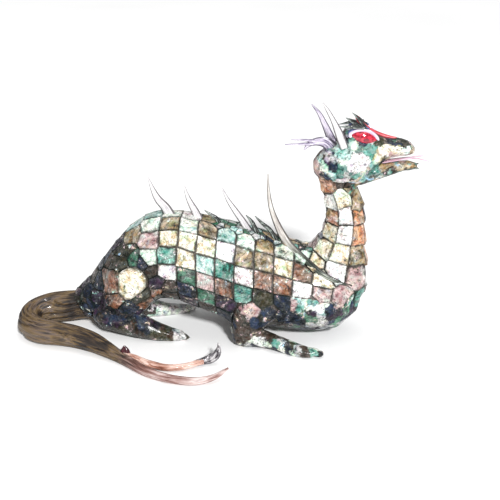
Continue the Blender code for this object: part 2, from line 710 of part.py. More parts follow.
def main():
    """Build every piece, seat it and stand the figure over the origin."""
    for old in list(bpy.data.objects):
        bpy.data.objects.remove(old)
    for old in list(bpy.data.collections):
        bpy.data.collections.remove(old)
    for name in ("workshop", "dragon_statue"):
        bpy.context.scene.collection.children.link(bpy.data.collections.new(name))
    figure = Figure(bpy.data.collections["dragon_statue"])
    body = floor_cut(make_body())
    tail = floor_cut(make_tail())
    corners = [vertex.co for vertex in body.data.vertices]
    skin = BVHTree.FromPolygons(corners, [face.vertices for face in body.data.polygons])
    boolean(body, [make_tail(FIT_GAP)], "DIFFERENCE")
    set_spines(figure, body, skin)
    set_head(figure, body, skin)
    set_tail(figure, tail)
    figure.keep("shell_body", body, finish("shell_tile", "A9B8A8", 0.25))
    figure.keep("wood_tail", tail, finish("driftwood", "6F5A47", 0.6))
    figure.stand_over_origin()


main()
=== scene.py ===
"""Looks for a lying dragon clad in cut sea shell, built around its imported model.

Places are millimetres on the figure as it was drawn: x along its spine, y across it with the right side
negative, z up from the floor. Frame carries them into the model's own frame, in metres.
"""

import logging
import math
from dataclasses import dataclass
from enum import Enum
from functools import cache, partial

import bpy
import numpy as np
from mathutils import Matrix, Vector
from mathutils.bvhtree import BVHTree


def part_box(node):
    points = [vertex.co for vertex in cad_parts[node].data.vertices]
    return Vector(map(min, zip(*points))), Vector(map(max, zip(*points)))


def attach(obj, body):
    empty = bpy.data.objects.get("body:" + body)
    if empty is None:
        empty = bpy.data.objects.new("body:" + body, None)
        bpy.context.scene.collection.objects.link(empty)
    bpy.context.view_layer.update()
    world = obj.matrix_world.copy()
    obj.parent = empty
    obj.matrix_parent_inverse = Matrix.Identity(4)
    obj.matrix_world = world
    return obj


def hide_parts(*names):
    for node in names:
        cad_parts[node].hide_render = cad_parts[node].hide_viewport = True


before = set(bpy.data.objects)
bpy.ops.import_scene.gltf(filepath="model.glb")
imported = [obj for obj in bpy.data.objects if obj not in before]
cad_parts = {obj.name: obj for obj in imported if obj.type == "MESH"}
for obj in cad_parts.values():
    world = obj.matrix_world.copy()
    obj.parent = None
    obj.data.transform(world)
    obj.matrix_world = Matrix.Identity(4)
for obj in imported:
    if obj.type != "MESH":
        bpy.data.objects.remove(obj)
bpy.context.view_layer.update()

log = logging.getLogger("dragon")

rng = np.random.default_rng(11)  # one seed for every draw, so that each build is the same

MM = 0.001
BODY_REACH = 188.8  # the drawn x of the jaw's tip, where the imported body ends


class Frame:
    """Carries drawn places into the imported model's frame, whose origin is under the middle of its box."""

    def __init__(self) -> None:
        """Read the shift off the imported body, which is even about its spine."""
        low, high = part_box("shell_body")
        self.shift = np.array([high.x - BODY_REACH * MM, (low.y + high.y) / 2, 0.0])

    def place(self, points: np.ndarray | tuple) -> np.ndarray:
        """Drawn places in millimetres as places in the frame in metres."""
        return np.asarray(points, float) * MM + self.shift

    def drawn(self, points: np.ndarray) -> np.ndarray:
        """Places in the frame in metres as drawn places in millimetres."""
        return (points - self.shift) / MM


FRAME = Frame()


def linear(hex_value: str) -> tuple[float, float, float, float]:
    """An sRGB hex value as linear red, green, blue and alpha."""
    shades = [int(hex_value[i : i + 2], 16) / 255 for i in (0, 2, 4)]
    return (*(s / 12.92 if s <= 0.04045 else ((s + 0.055) / 1.055) ** 2.4 for s in shades), 1.0)


def unit(vectors: np.ndarray) -> np.ndarray:
    """Each vector over its own length."""
    return vectors / np.maximum(np.linalg.norm(vectors, axis=-1, keepdims=True), 1e-12)


class Tone(Enum):
    """The kinds of cladding: the colour of the shell, that of its streaks and its share of painted white
    highlight.
    """

    ICE = ("D5DFD0", "8FC4A8", 0.8)
    CREAM = ("DCD3AE", "B8A468", 0.75)
    AQUA = ("A5D8D0", "3F9A94", 0.6)
    TEAL = ("4AA090", "0F4E48", 0.35)
    EMERALD = ("2F7A5C", "0E2E26", 0.25)
    ROSE = ("CDB4B0", "8A6468", 0.45)
    RUST = ("94603E", "46220F", 0.3)
    GOLD = ("A88E58", "5C4A26", 0.4)
    OLIVE = ("3A3722", "14130B", 0.18)
    NIGHT = ("0A0D1A", "22324F", 0.14)
    PLUM = ("160E1C", "402E4A", 0.14)
    SILVER = ("B4BABE", "5E666E", 0.6)
    UMBER = ("402E22", "140D08", 0.18)
    LILAC = ("B8ACC6", "6E6488", 0.5)
    PEARL = ("E6E2E0", "B8ACC0", 0.9)
    AMBER = ("DDA070", "9C5A34", 0.4)

    @property
    def body(self) -> tuple[float, float, float, float]:
        """The colour of the shell itself, with its share of painted white highlight as alpha."""
        return (*linear(self.value[0])[:3], self.value[2])

    @property
    def band(self) -> tuple[float, float, float, float]:
        """The colour of its streaks."""
        return linear(self.value[1])


class Region(Enum):
    """The parts of the figure, which are clad in pieces of different size and colour."""

    TRUNK = 0
    NECK = 1
    HEAD = 2
    SNOUT = 3
    JAW = 4
    HAUNCH = 5
    FOOT = 6
    SHOULDER = 7
    FOREARM = 8
    RUMP = 9
    CHEST = 10
    RIDGE = 11
    NAPE = 12


def region_of(points: np.ndarray) -> np.ndarray:
    """The region that each drawn place belongs to.

    Each region is a simple solid, tried in order: an ellipse in x and z for haunch and shoulder, half-spaces
    for the rest.

    Args:
        points: drawn places, one row each.

    Returns:
        The value of each one's Region.
    """
    x, y, z = points.T
    side = np.abs(y)
    haunch = ((x + 84) / 34) ** 2 + ((z - 58) / 38) ** 2 < 1
    shoulder = ((x - 40) / 24) ** 2 + ((z - 30) / 24) ** 2 < 1
    neck_line = 0.45 * (x - 100) + z > 76
    rules = [
        ((x > 146) & (z > 190 - 0.1 * (x - 146)), Region.SNOUT),
        ((x > 124) & (z > 150) & (z < 182 + 0.12 * (x - 140)), Region.JAW),
        ((x > 88) & (z > 166), Region.HEAD),
        ((x > 88) & neck_line & (x < 118) & (side < 7) & (z > 80), Region.NAPE),
        ((x > 88) & neck_line, Region.NECK),
        ((z < 15) & (x > 14) & (side > 26), Region.FOREARM),
        ((side > 20) & shoulder, Region.SHOULDER),
        ((z < 32 - 0.05 * (x + 90)) & (x < -28) & (x > -128) & (side > 8), Region.FOOT),
        ((side > 14) & haunch, Region.HAUNCH),
        ((x < -96), Region.RUMP),
        ((x > 66) & (z < 60 - 0.2 * (x - 66)), Region.CHEST),
        ((side < 13) & (z > 88) & (x > -8), Region.RIDGE),
    ]
    return np.select([rule for rule, _ in rules], [region.value for _, region in rules], Region.TRUNK.value)


def feed(tree: bpy.types.NodeTree, node: bpy.types.Node, links: dict) -> None:
    """Link what feeds a node's inputs, by their names or numbers: an output, or a node's first one."""
    for key, source in links.items():
        output = source.outputs[0] if isinstance(source, bpy.types.Node) else source
        tree.links.new(output, node.inputs[key])


def add_node(tree: bpy.types.NodeTree, kind: str, settings: dict, links: dict) -> bpy.types.Node:
    """Add a node to a material, set what it is to be and link what feeds it.

    Args:
        tree: the material's node tree.
        kind: Blender's name for the type of shader node, without the words ShaderNode.
        settings: values by the node's own attribute, or by the name or number of an input. The stops of a
            ramp are pairs of a share and a colour, as a hex value, or a grey, as a number.
        links: what feeds each input, as for feed.

    Returns:
        The node.
    """
    node = tree.nodes.new("ShaderNode" + kind)
    for key, value in settings.items():
        if key == "stops":
            for _ in value[2:]:
                node.color_ramp.elements.new(0.5)
            for element, (share, shade) in zip(node.color_ramp.elements, value):
                element.position = share
                element.color = linear(shade) if isinstance(shade, str) else (shade, shade, shade, 1.0)
        elif isinstance(key, str) and hasattr(node, key):
            setattr(node, key, value)
        else:
            node.inputs[key].default_value = value
    feed(tree, node, links)
    return node


def new_material(name: str, look: dict) -> tuple[bpy.types.Material, bpy.types.NodeTree, bpy.types.Node]:
    """Start a material.

    Args:
        name: its name.
        look: constant values, by the name of the principled shader's socket that they are set on.

    Returns:
        The material, its node tree and its principled shader.
    """
    material = bpy.data.materials.new(name)
    material.use_nodes = True
    tree = material.node_tree
    shader = tree.nodes["Principled BSDF"]
    for socket, value in look.items():
        shader.inputs[socket].default_value = value
    return material, tree, shader


@dataclass(frozen=True)
class CutShell:
    """Sea-ear shell, sawn into flats and polished.

    It is streaked and mottled nacre that breaks into painted white highlight and dark crazing, with a skin of
    small flakes that each lean their own way, so that it glitters in points. Small white and pastel specks
    painted into its colour are painted highlights too.
    """

    mottle: float = 15.0  # millimetres across a patch of colour
    warp: float = 11.0  # millimetres across one wave of the growth lines
    craze: float = 13.0  # millimetres between the long cracks
    flake: float = 2.0  # millimetres across one flake of nacre
    lean: float = 0.65  # how far the flakes lean
    depth: float = 0.35  # millimetres of relief
    name: str = "polished_cut_shell"

    def make(self) -> bpy.types.Material:
        """The material. It reads each flat's own colours and its own place on the shell from attributes."""
        look = {"Roughness": 0.32, "IOR": 1.56, "Coat Roughness": 0.12}
        material, tree, shader = new_material(self.name, look)
        add = partial(add_node, tree)
        place = add("Attribute", {"attribute_name": "shell_place"}, {}).outputs["Vector"]
        body = add("Attribute", {"attribute_name": "shell_body"}, {})
        band = add("Attribute", {"attribute_name": "shell_band"}, {}).outputs["Color"]
        wander = add("TexNoise", {"Scale": 1 / (self.warp * MM), "Detail": 3.0}, {"Vector": place})
        warped = add(
            "VectorMath",
            {"operation": "MULTIPLY_ADD", 1: (7 * MM, 7 * MM, 7 * MM)},
            {0: wander.outputs["Color"], 2: place},
        )
        drawn = add("Mapping", {"Scale": (1.0, 2.4, 1.0)}, {"Vector": warped})
        mottle = add(
            "TexNoise",
            {"Scale": 1 / (self.mottle * MM), "Detail": 6.0, "Roughness": 0.6, "Distortion": 0.6},
            {"Vector": drawn},
        )
        streak = add("ValToRGB", {"stops": [(0.42, 0.0), (0.60, 1.0)]}, {"Fac": mottle})
        shades = add("Mix", {"data_type": "RGBA"}, {0: streak, 6: body.outputs["Color"], 7: band})
        nacre = ((0.34, "A8F0DC"), (0.44, "FFFFFF"), (0.51, "FFD2DE"), (0.58, "FFF2C8"), (0.68, "A8D0F4"))
        sheen = add("ValToRGB", {"stops": nacre}, {"Fac": wander})
        tinted = add(
            "Mix", {"data_type": "RGBA", "blend_type": "MULTIPLY", 0: 0.6}, {6: shades.outputs[2], 7: sheen}
        )
        second = add(
            "TexNoise",
            {"Scale": 1 / (0.75 * self.mottle * MM), "Detail": 8.0, "Roughness": 0.76, "Lacunarity": 2.3},
            {"Vector": warped},
        )
        # painted highlight: patches of white mixed into the colour, the more the higher a tone's share in its
        # alpha
        painted_glare = add("ValToRGB", {"stops": [(0.44, 0.0), (0.54, 1.0)]}, {"Fac": second})
        clear = add("Math", {"operation": "POWER", 1: 1.6}, {0: body.outputs["Alpha"]})
        share = add("Math", {"operation": "MULTIPLY"}, {0: painted_glare, 1: clear})
        painted_glare_colour = add("Mix", {"data_type": "RGBA", 7: linear("FBFFF8")}, {0: share, 6: tinted.outputs[2]})
        # painted highlight: small white and pastel specks where the fine noise peaks
        painted_glints = add("ValToRGB", {"stops": [(0.585, 0.0), (0.615, 0.85)]}, {"Fac": second})
        painted_glint_colour = add("Mix", {"data_type": "RGBA"}, {0: painted_glints, 6: painted_glare_colour.outputs[2], 7: sheen})
        long_cracks = add(
            "TexNoise", {"Scale": 1 / (self.craze * MM), "Detail": 4.0, "Roughness": 0.6}, {"Vector": drawn}
        )
        crack_line = add(
            "ValToRGB",
            {"stops": [(0.480, 0.0), (0.494, 0.9), (0.502, 0.9), (0.516, 0.0)]},
            {"Fac": long_cracks},
        )
        pits = add("ValToRGB", {"stops": [(0.375, 1.0), (0.425, 0.0)]}, {"Fac": second})
        # darker towards each flat's edge, and towards the borders where patches of bare shell meet
        edge = add("Attribute", {"attribute_name": "shell_worn"}, {}).outputs["Fac"]
        ragged = add("Math", {"operation": "MULTIPLY_ADD", 1: -0.9}, {0: second, 2: edge})
        edge_darkening = add("ValToRGB", {"stops": [(0.38, 0.0), (0.58, 0.85)]}, {"Fac": ragged})
        marks = add("Math", {"operation": "MAXIMUM"}, {0: crack_line, 1: pits})
        dark = add("Math", {"operation": "MAXIMUM"}, {0: marks, 1: edge_darkening})
        final = add("Mix", {"data_type": "RGBA", 7: linear("1C2420")}, {0: dark, 6: painted_glint_colour.outputs[2]})
        buffed = add("Math", {"operation": "MULTIPLY", 1: 0.6}, {0: body.outputs["Alpha"]})
        flakes = add("TexVoronoi", {"Scale": 1 / (self.flake * MM)}, {"Vector": warped})
        leaning = add(
            "VectorMath",
            {"operation": "MULTIPLY_ADD", 1: (self.lean, self.lean, self.lean), 2: (-self.lean / 2,) * 3},
            {0: flakes.outputs["Color"]},
        )
        level = add("NewGeometry", {}, {}).outputs["Normal"]
        leant = add("VectorMath", {"operation": "ADD"}, {0: level, 1: leaning})
        turned = add("VectorMath", {"operation": "NORMALIZE"}, {0: leant})
        bump = add(
            "Bump", {"Strength": 0.6, "Distance": self.depth * MM}, {"Height": second, "Normal": turned}
        )
        feed(tree, shader, {"Base Color": final.outputs[2], "Normal": bump})
        feed(tree, shader, {"Coat Weight": buffed, "Specular IOR Level": buffed})
        return material


@dataclass(frozen=True)
class Grout:
    """Dark resin paste that the flats are bedded in, trowelled and left dull, so that it reads as shadow."""

    grit: float = 1.2
    name: str = "dark_resin_grout"

    def make(self) -> bpy.types.Material:
        """The material."""
        material, tree, shader = new_material(self.name, {"Roughness": 0.55, "IOR": 1.5})
        add = partial(add_node, tree)
        place = add("TexCoord", {}, {}).outputs["Object"]
        lumps = add("TexNoise", {"Scale": 1 / (self.grit * MM), "Detail": 4.0}, {"Vector": place})
        shades = add(
            "ValToRGB", {"stops": [(0.35, "1E1A18"), (0.55, "4A423C"), (0.75, "7A6E62")]}, {"Fac": lumps}
        )
        bump = add("Bump", {"Strength": 0.6, "Distance": 0.4 * MM}, {"Height": lumps})
        feed(tree, shader, {"Base Color": shades, "Normal": bump})
        return material


def lengths_along(places: np.ndarray) -> np.ndarray:
    """How far along the line each of its places lies."""
    return np.concatenate([[0], np.cumsum(np.linalg.norm(np.diff(places, axis=0), axis=1))])


def smooth_path(stations: np.ndarray | tuple, count: int) -> np.ndarray:
    """Even steps along a smooth curve through the stations.

    On each span the curve is the cubic that passes its two stations, and whose slope at each is half the
    chord between the stations on either side of it. Values beyond x, y and z are carried along the same way.

    Args:
        stations: one row for each, x, y and z first.
        count: how many rows to return.

    Returns:
        The rows, evenly spaced along the curve.
    """
    table = np.asarray(stations, float)
    padded = np.vstack([2 * table[0] - table[1], table, 2 * table[-1] - table[-2]])
    along = np.linspace(0, len(table) - 1, 32 * len(table))
    span = np.minimum(along.astype(int), len(table) - 2)
    t = (along - span)[:, None]
    a, b, c, d = (padded[span + k] for k in range(4))
    fine = 0.5 * (2 * b + (c - a) * t + (2 * a - 5 * b + 4 * c - d) * t**2 + (3 * b - a - 3 * c + d) * t**3)
    run = lengths_along(fine[:, :3])
    wanted = np.linspace(0, run[-1], count)
    return np.stack([np.interp(wanted, run, column) for column in fine.T], axis=1)


def read_all(items: bpy.types.bpy_prop_collection, key: str, width: int, kind: type = float) -> np.ndarray:
    """Read a value off every place, edge, face or corner of a mesh.

    Args:
        items: the mesh's collection of them.
        key: Blender's name for the value.
        width: how many numbers it has.
        kind: whether they are float or int.

    Returns:
        One row for each, or one number for each where the width is 1.
    """
    values = np.empty(len(items) * width, kind)
    items.foreach_get(key, values)
    return values.reshape(-1, width) if width > 1 else values


def write_layer(mesh: bpy.types.Mesh, name: str, kind: str, values: np.ndarray) -> None:
    """Write a value for every place of a mesh, which its material reads by this name."""
    key = {"FLOAT": "value", "FLOAT_VECTOR": "vector", "FLOAT_COLOR": "color"}[kind]
    mesh.attributes.new(name, kind, "POINT").data.foreach_set(key, values.ravel())


def new_piece(name: str, points: np.ndarray, faces: list, material: bpy.types.Material) -> bpy.types.Object:
    """Make a smooth-shaded piece.

    Args:
        name: its name.
        points: its places in the frame, one row each.
        faces: the numbers of each face's corners.
        material: what it is made of.

    Returns:
        The piece.
    """
    mesh = bpy.data.meshes.new(name)
    mesh.from_pydata(points.tolist(), [], faces)
    mesh.materials.append(material)
    mesh.shade_smooth()
    piece = bpy.data.objects.new(name, mesh)
    bpy.context.scene.collection.objects.link(piece)
    return piece


@dataclass
class Skin:
    """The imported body's solid, cut into even facets and eased, which carries the cladding."""

    voxel: float = 1.5  # the size of a facet
    passes: int = 8  # how many times it is eased, there and back
    sink: float = 1.5  # how far the grout lies under the face of the cladding
    ease: tuple[float, float] = (0.5, -0.52)  # how far towards its neighbours' mean a place moves each time
    border: float = 1.4  # how wide the dark border is on each side where two patches of crushed shell meet
    waver: float = 0.9  # how far those borders waver
    waves: float = 0.9  # radians of that wave in each millimetre

    def __post_init__(self) -> None:
        """Take the body's own mesh, even it out and ease it.

        Easing moves each place towards the mean of those it is joined to, and then a little further back than
        it came, so that thin toes keep their size.
        """
        work = bpy.data.objects.new("skin_work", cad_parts["shell_body"].data.copy())
        bpy.context.scene.collection.objects.link(work)
        weld = work.modifiers.new("weld", "WELD")
        weld.merge_threshold = 0.01 * MM
        even = work.modifiers.new("even", "REMESH")
        even.mode = "VOXEL"
        even.voxel_size = self.voxel * MM
        graph = bpy.context.evaluated_depsgraph_get()
        self.mesh = bpy.data.meshes.new_from_object(work.evaluated_get(graph))
        bpy.data.objects.remove(work)
        points = read_all(self.mesh.vertices, "co", 3)
        self.edges = read_all(self.mesh.edges, "vertices", 2, int)
        self.degree = np.bincount(self.edges.ravel(), minlength=len(points))
        for step in self.ease * self.passes:
            points = points + step * (np.stack([self.evened(column) for column in points.T], axis=1) - points)
        self.mesh.vertices.foreach_set("co", points.ravel())
        self.mesh.update()
        self.points = points
        self.normals = read_all(self.mesh.vertex_normals, "vector", 3)
        self.region = region_of(FRAME.drawn(points))
        self.tree = BVHTree.FromPolygons(points.tolist(), [tuple(p.vertices) for p in self.mesh.polygons])

    def evened(self, values: np.ndarray) -> np.ndarray:
        """For each place the mean of a value over the places it is joined to."""
        start, end = self.edges.T
        count = len(self.degree)
        return (np.bincount(start, values[end], count) + np.bincount(end, values[start], count)) / self.degree

    def hit(self, start: np.ndarray, way: np.ndarray) -> np.ndarray | None:
        """Where a ray from start along way first meets the skin, or None."""
        place, _, _, _ = self.tree.ray_cast(Vector(start), Vector(way))
        return None if place is None else np.array(place)

    def closest(self, points: np.ndarray) -> np.ndarray:
        """The place on the skin that is nearest to each of these.

        Args:
            points: places in the frame, one row each.

        Returns:
            The nearest places, one row each.
        """
        flock = bpy.data.meshes.new("flock")
        flock.from_pydata(points.tolist(), [], [])
        lure = bpy.data.objects.new("lure", self.mesh)
        probe = bpy.data.objects.new("probe", flock)
        for helper in (lure, probe):
            bpy.context.scene.collection.objects.link(helper)
        wrap = probe.modifiers.new("wrap", "SHRINKWRAP")
        wrap.target = lure
        wrap.wrap_method = "NEAREST_SURFACEPOINT"
        held = probe.evaluated_get(bpy.context.evaluated_depsgraph_get()).data
        found = read_all(held.vertices, "co", 3)
        for helper in (probe, lure):
            bpy.data.objects.remove(helper)
        bpy.data.meshes.remove(flock)
        return found

    def core(self, seeds: "Seeds", tones: list[Tone], bare: tuple[Region, ...]) -> bpy.types.Object:
        """The body under the flats, drawn in along its normals, and flat where it rests.

        In the bare regions, which carry no flats, it isn't drawn in and is itself crushed shell, each patch
        of it in the tone of the nearest seed. Between, how far it is drawn in is evened out from place to
        place.

        Args:
            seeds: the middles of the patches.
            tones: their tones.
            bare: the regions without flats.

        Returns:
            The body's piece.
        """
        limb = np.isin(self.region, [region.value for region in bare])
        sink = np.where(limb, 0.0, self.sink)
        for _ in range(3):
            sink = self.evened(sink)
        wave = np.sin(self.points[:, [1, 2, 0]] * self.waves / MM)
        wandering = self.points + self.waver * MM * wave
        owner, margin = bordered(wandering, seeds)
        # how near each place lies to its patch's border, where the colour is darkened
        worn = np.clip(1.1 - margin / (self.border * MM), 0, 1)
        write_layer(self.mesh, "shell_worn", "FLOAT", worn)
        for attribute, key in (("shell_body", "body"), ("shell_band", "band")):
            colours = np.array([getattr(tone, key) for tone in tones])[owner]
            write_layer(self.mesh, attribute, "FLOAT_COLOR", colours)
        write_layer(self.mesh, "shell_place", "FLOAT_VECTOR", self.points)
        points = self.points - sink[:, None] * MM * self.normals
        points[:, 2] = np.maximum(points[:, 2], 0.0)
        self.mesh.vertices.foreach_set("co", points.ravel())
        self.mesh.materials.clear()
        self.mesh.materials.append(material_of(Grout()))
        self.mesh.materials.append(material_of(CutShell()))
        corner = read_all(self.mesh.loops, "vertex_index", 1, int)
        first = corner[read_all(self.mesh.polygons, "loop_start", 1, int)]
        self.mesh.polygons.foreach_set("material_index", limb[first].astype(int))
        self.mesh.shade_smooth()
        self.mesh.update()
        piece = bpy.data.objects.new("shell_core", self.mesh)
        bpy.context.scene.collection.objects.link(piece)
        return piece


@dataclass
class Seeds:
    """Where the flats go: for each, its place, its reach and which way its face leans."""

    place: np.ndarray
    reach: np.ndarray
    lean: np.ndarray

    @classmethod
    def joined(cls, parts: list["Seeds"]) -> "Seeds":
        """All the seeds of several sets."""
        keys = ("place", "reach", "lean")
        return cls(*(np.concatenate([getattr(part, key) for part in parts]) for key in keys))

    def without(self, others: "Seeds", share: float) -> "Seeds":
        """The seeds that lie further off than half their own reach and a share of each of the others'."""
        gap = np.linalg.norm(self.place[:, None] - others.place[None], axis=2)
        return self.only((gap > share * others.reach[None] + 0.5 * self.reach[:, None]).all(axis=1))

    def only(self, kept: np.ndarray) -> "Seeds":
        """The seeds that are marked."""
        return Seeds(self.place[kept], self.reach[kept], self.lean[kept])

    def tilted(self, amount: float) -> "Seeds":
        """The same seeds, each leaning its own way by up to this much."""
        turn = rng.uniform(-amount, amount, self.lean.shape)
        return Seeds(self.place, self.reach, self.lean + turn)


class Shear:
    """Levels the figure's sloping back, so that courses that follow it are cut square to each other.

    A place's height is lowered by that of the row line under it, which runs through the middle of the
    trunk and is level before and behind it.
    """

    line = (
        (-62.5, 77.9), (-39.4, 78.8), (-10.1, 71.1), (20.3, 62.3), (51.3, 55.1), (81.4, 48.0), (109.3, 41.8),
    )

    @classmethod
    def height(cls, points: np.ndarray) -> np.ndarray:
        """The height of the row line at each place, in metres."""
        x, z = np.array(cls.line).T
        return np.interp(FRAME.drawn(points)[:, 0], x, z) * MM

    @classmethod
    def levelled(cls, points: np.ndarray) -> np.ndarray:
        """The places as they'd be if the row line were level."""
        return points - cls.height(points)[:, None] * np.array([0.0, 0.0, 1.0])

    @classmethod
    def slope(cls, points: np.ndarray) -> np.ndarray:
        """The row line's slope at each place."""
        step = np.array([6.0 * MM, 0.0, 0.0])
        return (cls.height(points + step) - cls.height(points - step)) / (12 * MM)


def nearest(points: np.ndarray, seeds: Seeds) -> np.ndarray:
    """For each place the seed whose reach it lies in, once both are levelled.

    That is the seed with the least power, which is the squared distance less its reach squared.

    Args:
        points: places in the frame, one row each.
        seeds: the seeds.

    Returns:
        The number of each one's seed.
    """
    place = Shear.levelled(seeds.place)
    weight = (place**2).sum(axis=1) - seeds.reach**2
    parts = np.array_split(Shear.levelled(points), 16)
    return np.concatenate([(weight - 2 * part @ place.T).argmin(axis=1) for part in parts])


def bordered(points: np.ndarray, seeds: Seeds) -> tuple[np.ndarray, np.ndarray]:
    """As nearest, and how far each place is from the border of its seed's patch.

    The border with the next seed is a plane, and the distance to it is half the difference of the two
    powers over the distance between the two seeds.

    Args:
        points: places in the frame, one row each.
        seeds: the seeds.

    Returns:
        The number of each one's seed, and each one's distance in metres.
    """
    place = Shear.levelled(seeds.place)
    weight = (place**2).sum(axis=1) - seeds.reach**2
    owners, margins = [], []
    for part in np.array_split(Shear.levelled(points), 16):
        power = weight - 2 * part @ place.T
        first, second = np.argpartition(power, 1, axis=1)[:, :2].T
        row = np.arange(len(part))
        gap = power[row, second] - power[row, first]
        apart = np.linalg.norm(place[second] - place[first], axis=1)
        owners.append(first)
        margins.append(gap / (2 * np.maximum(apart, 1e-6)))
    return np.concatenate(owners), np.concatenate(margins)


@dataclass(frozen=True)
class Courses:
    """Squared flats in courses along a line through the body and rows round it."""

    region: tuple[Region, ...]
    line: tuple[tuple[float, float], ...]  # x and z on the spine plane
    pitch: float
    rows: int
    lap: float  # how far each flat's lower edge stands out, as a slope
    first: float  # how far along the line, or at which x if upright, the first course's middle is
    upright: bool  # whether the courses stand upright, and are even along x, or square to the line
    play: float = 0.7  # how far off its place a flat may lie

    def seeds(self, skin: Skin) -> Seeds:
        """A flat wherever a ray from the line meets the skin in the courses' own regions.

        The ray for course i and row k leaves the line at the course's middle, k steps round it, square to
        the line or, where the courses stand upright, square to x.

        Args:
            skin: what they lie on.

        Returns:
            Their seeds.
        """
        table = np.array([(x, 0.0, z) for x, z in self.line])
        fine = smooth_path(table, 600)
        measure = fine[:, 0] if self.upright else lengths_along(fine)
        steps = np.searchsorted(measure, np.arange(self.first, measure[-1], self.pitch))
        path = fine[steps]
        along = unit(np.gradient(fine, axis=0))[steps]
        square = np.stack([-along[:, 2], 0 * along[:, 0], along[:, 0]], axis=1)
        upward = np.tile([0.0, 0.0, 1.0], (len(path), 1)) if self.upright else square
        angles = np.arange(self.rows) * 2 * math.pi / self.rows
        across = np.array([0.0, 1.0, 0.0])
        ways = np.cos(angles)[None, :, None] * across + np.sin(angles)[None, :, None] * upward[:, None]
        starts = np.broadcast_to(FRAME.place(path)[:, None], ways.shape).reshape(-1, 3)
        hits = [skin.hit(start, way) for start, way in zip(starts, ways.reshape(-1, 3))]
        place = np.array([hit for hit in hits if hit is not None])
        kept = np.isin(region_of(FRAME.drawn(place)), [region.value for region in self.region])
        place = place[kept] + rng.uniform(-self.play, self.play, (kept.sum(), 3)) * MM
        lean = np.tile([0.0, 0.0, self.lap], (len(place), 1))
        return Seeds(place, np.full(len(place), self.pitch / 2 * MM), lean)


@dataclass(frozen=True)
class Scatter:
    """Irregular flats of about one size over a region, broken and fitted like crazy paving."""

    region: Region
    size: float
    evenness: int = 2  # how many times the flats are evened out
    crowding: float = 1.1  # how many times as many as their size would give
    reaches: tuple[float, float] = (0.4, 0.62)  # the least and the greatest reach, as shares of the size
    tilt: float = 0.10  # how far their faces lean, as a slope
    clearance: float = 1.5  # how far over the floor their middles start

    def seeds(self, skin: Skin) -> Seeds:
        """Seeds at random over the region, each then moved to the middle of what lies nearest to it.

        Args:
            skin: what the flats lie on.

        Returns:
            Their seeds.
        """
        clear = skin.points[:, 2] > self.clearance * MM
        points = skin.points[(skin.region == self.region.value) & clear]
        count = max(3, int(len(points) * (skin.voxel / self.size) ** 2 * self.crowding))
        place = points[rng.choice(len(points), count, replace=False)]
        for _ in range(self.evenness):
            owner = nearest(points, Seeds(place, np.zeros(len(place)), place))
            size = np.bincount(owner, minlength=len(place))
            sums = np.stack([np.bincount(owner, column, len(place)) for column in points.T], axis=1)
            place = sums[size > 0] / size[size > 0, None]
        reach = rng.uniform(*self.reaches, len(place)) * self.size * MM
        return Seeds(place, reach, np.zeros_like(place)).tilted(self.tilt)


@dataclass(frozen=True)
class Flat:
    """One flat that was chosen for its place on the figure."""

    x: float
    z: float
    reach: float
    tone: Tone


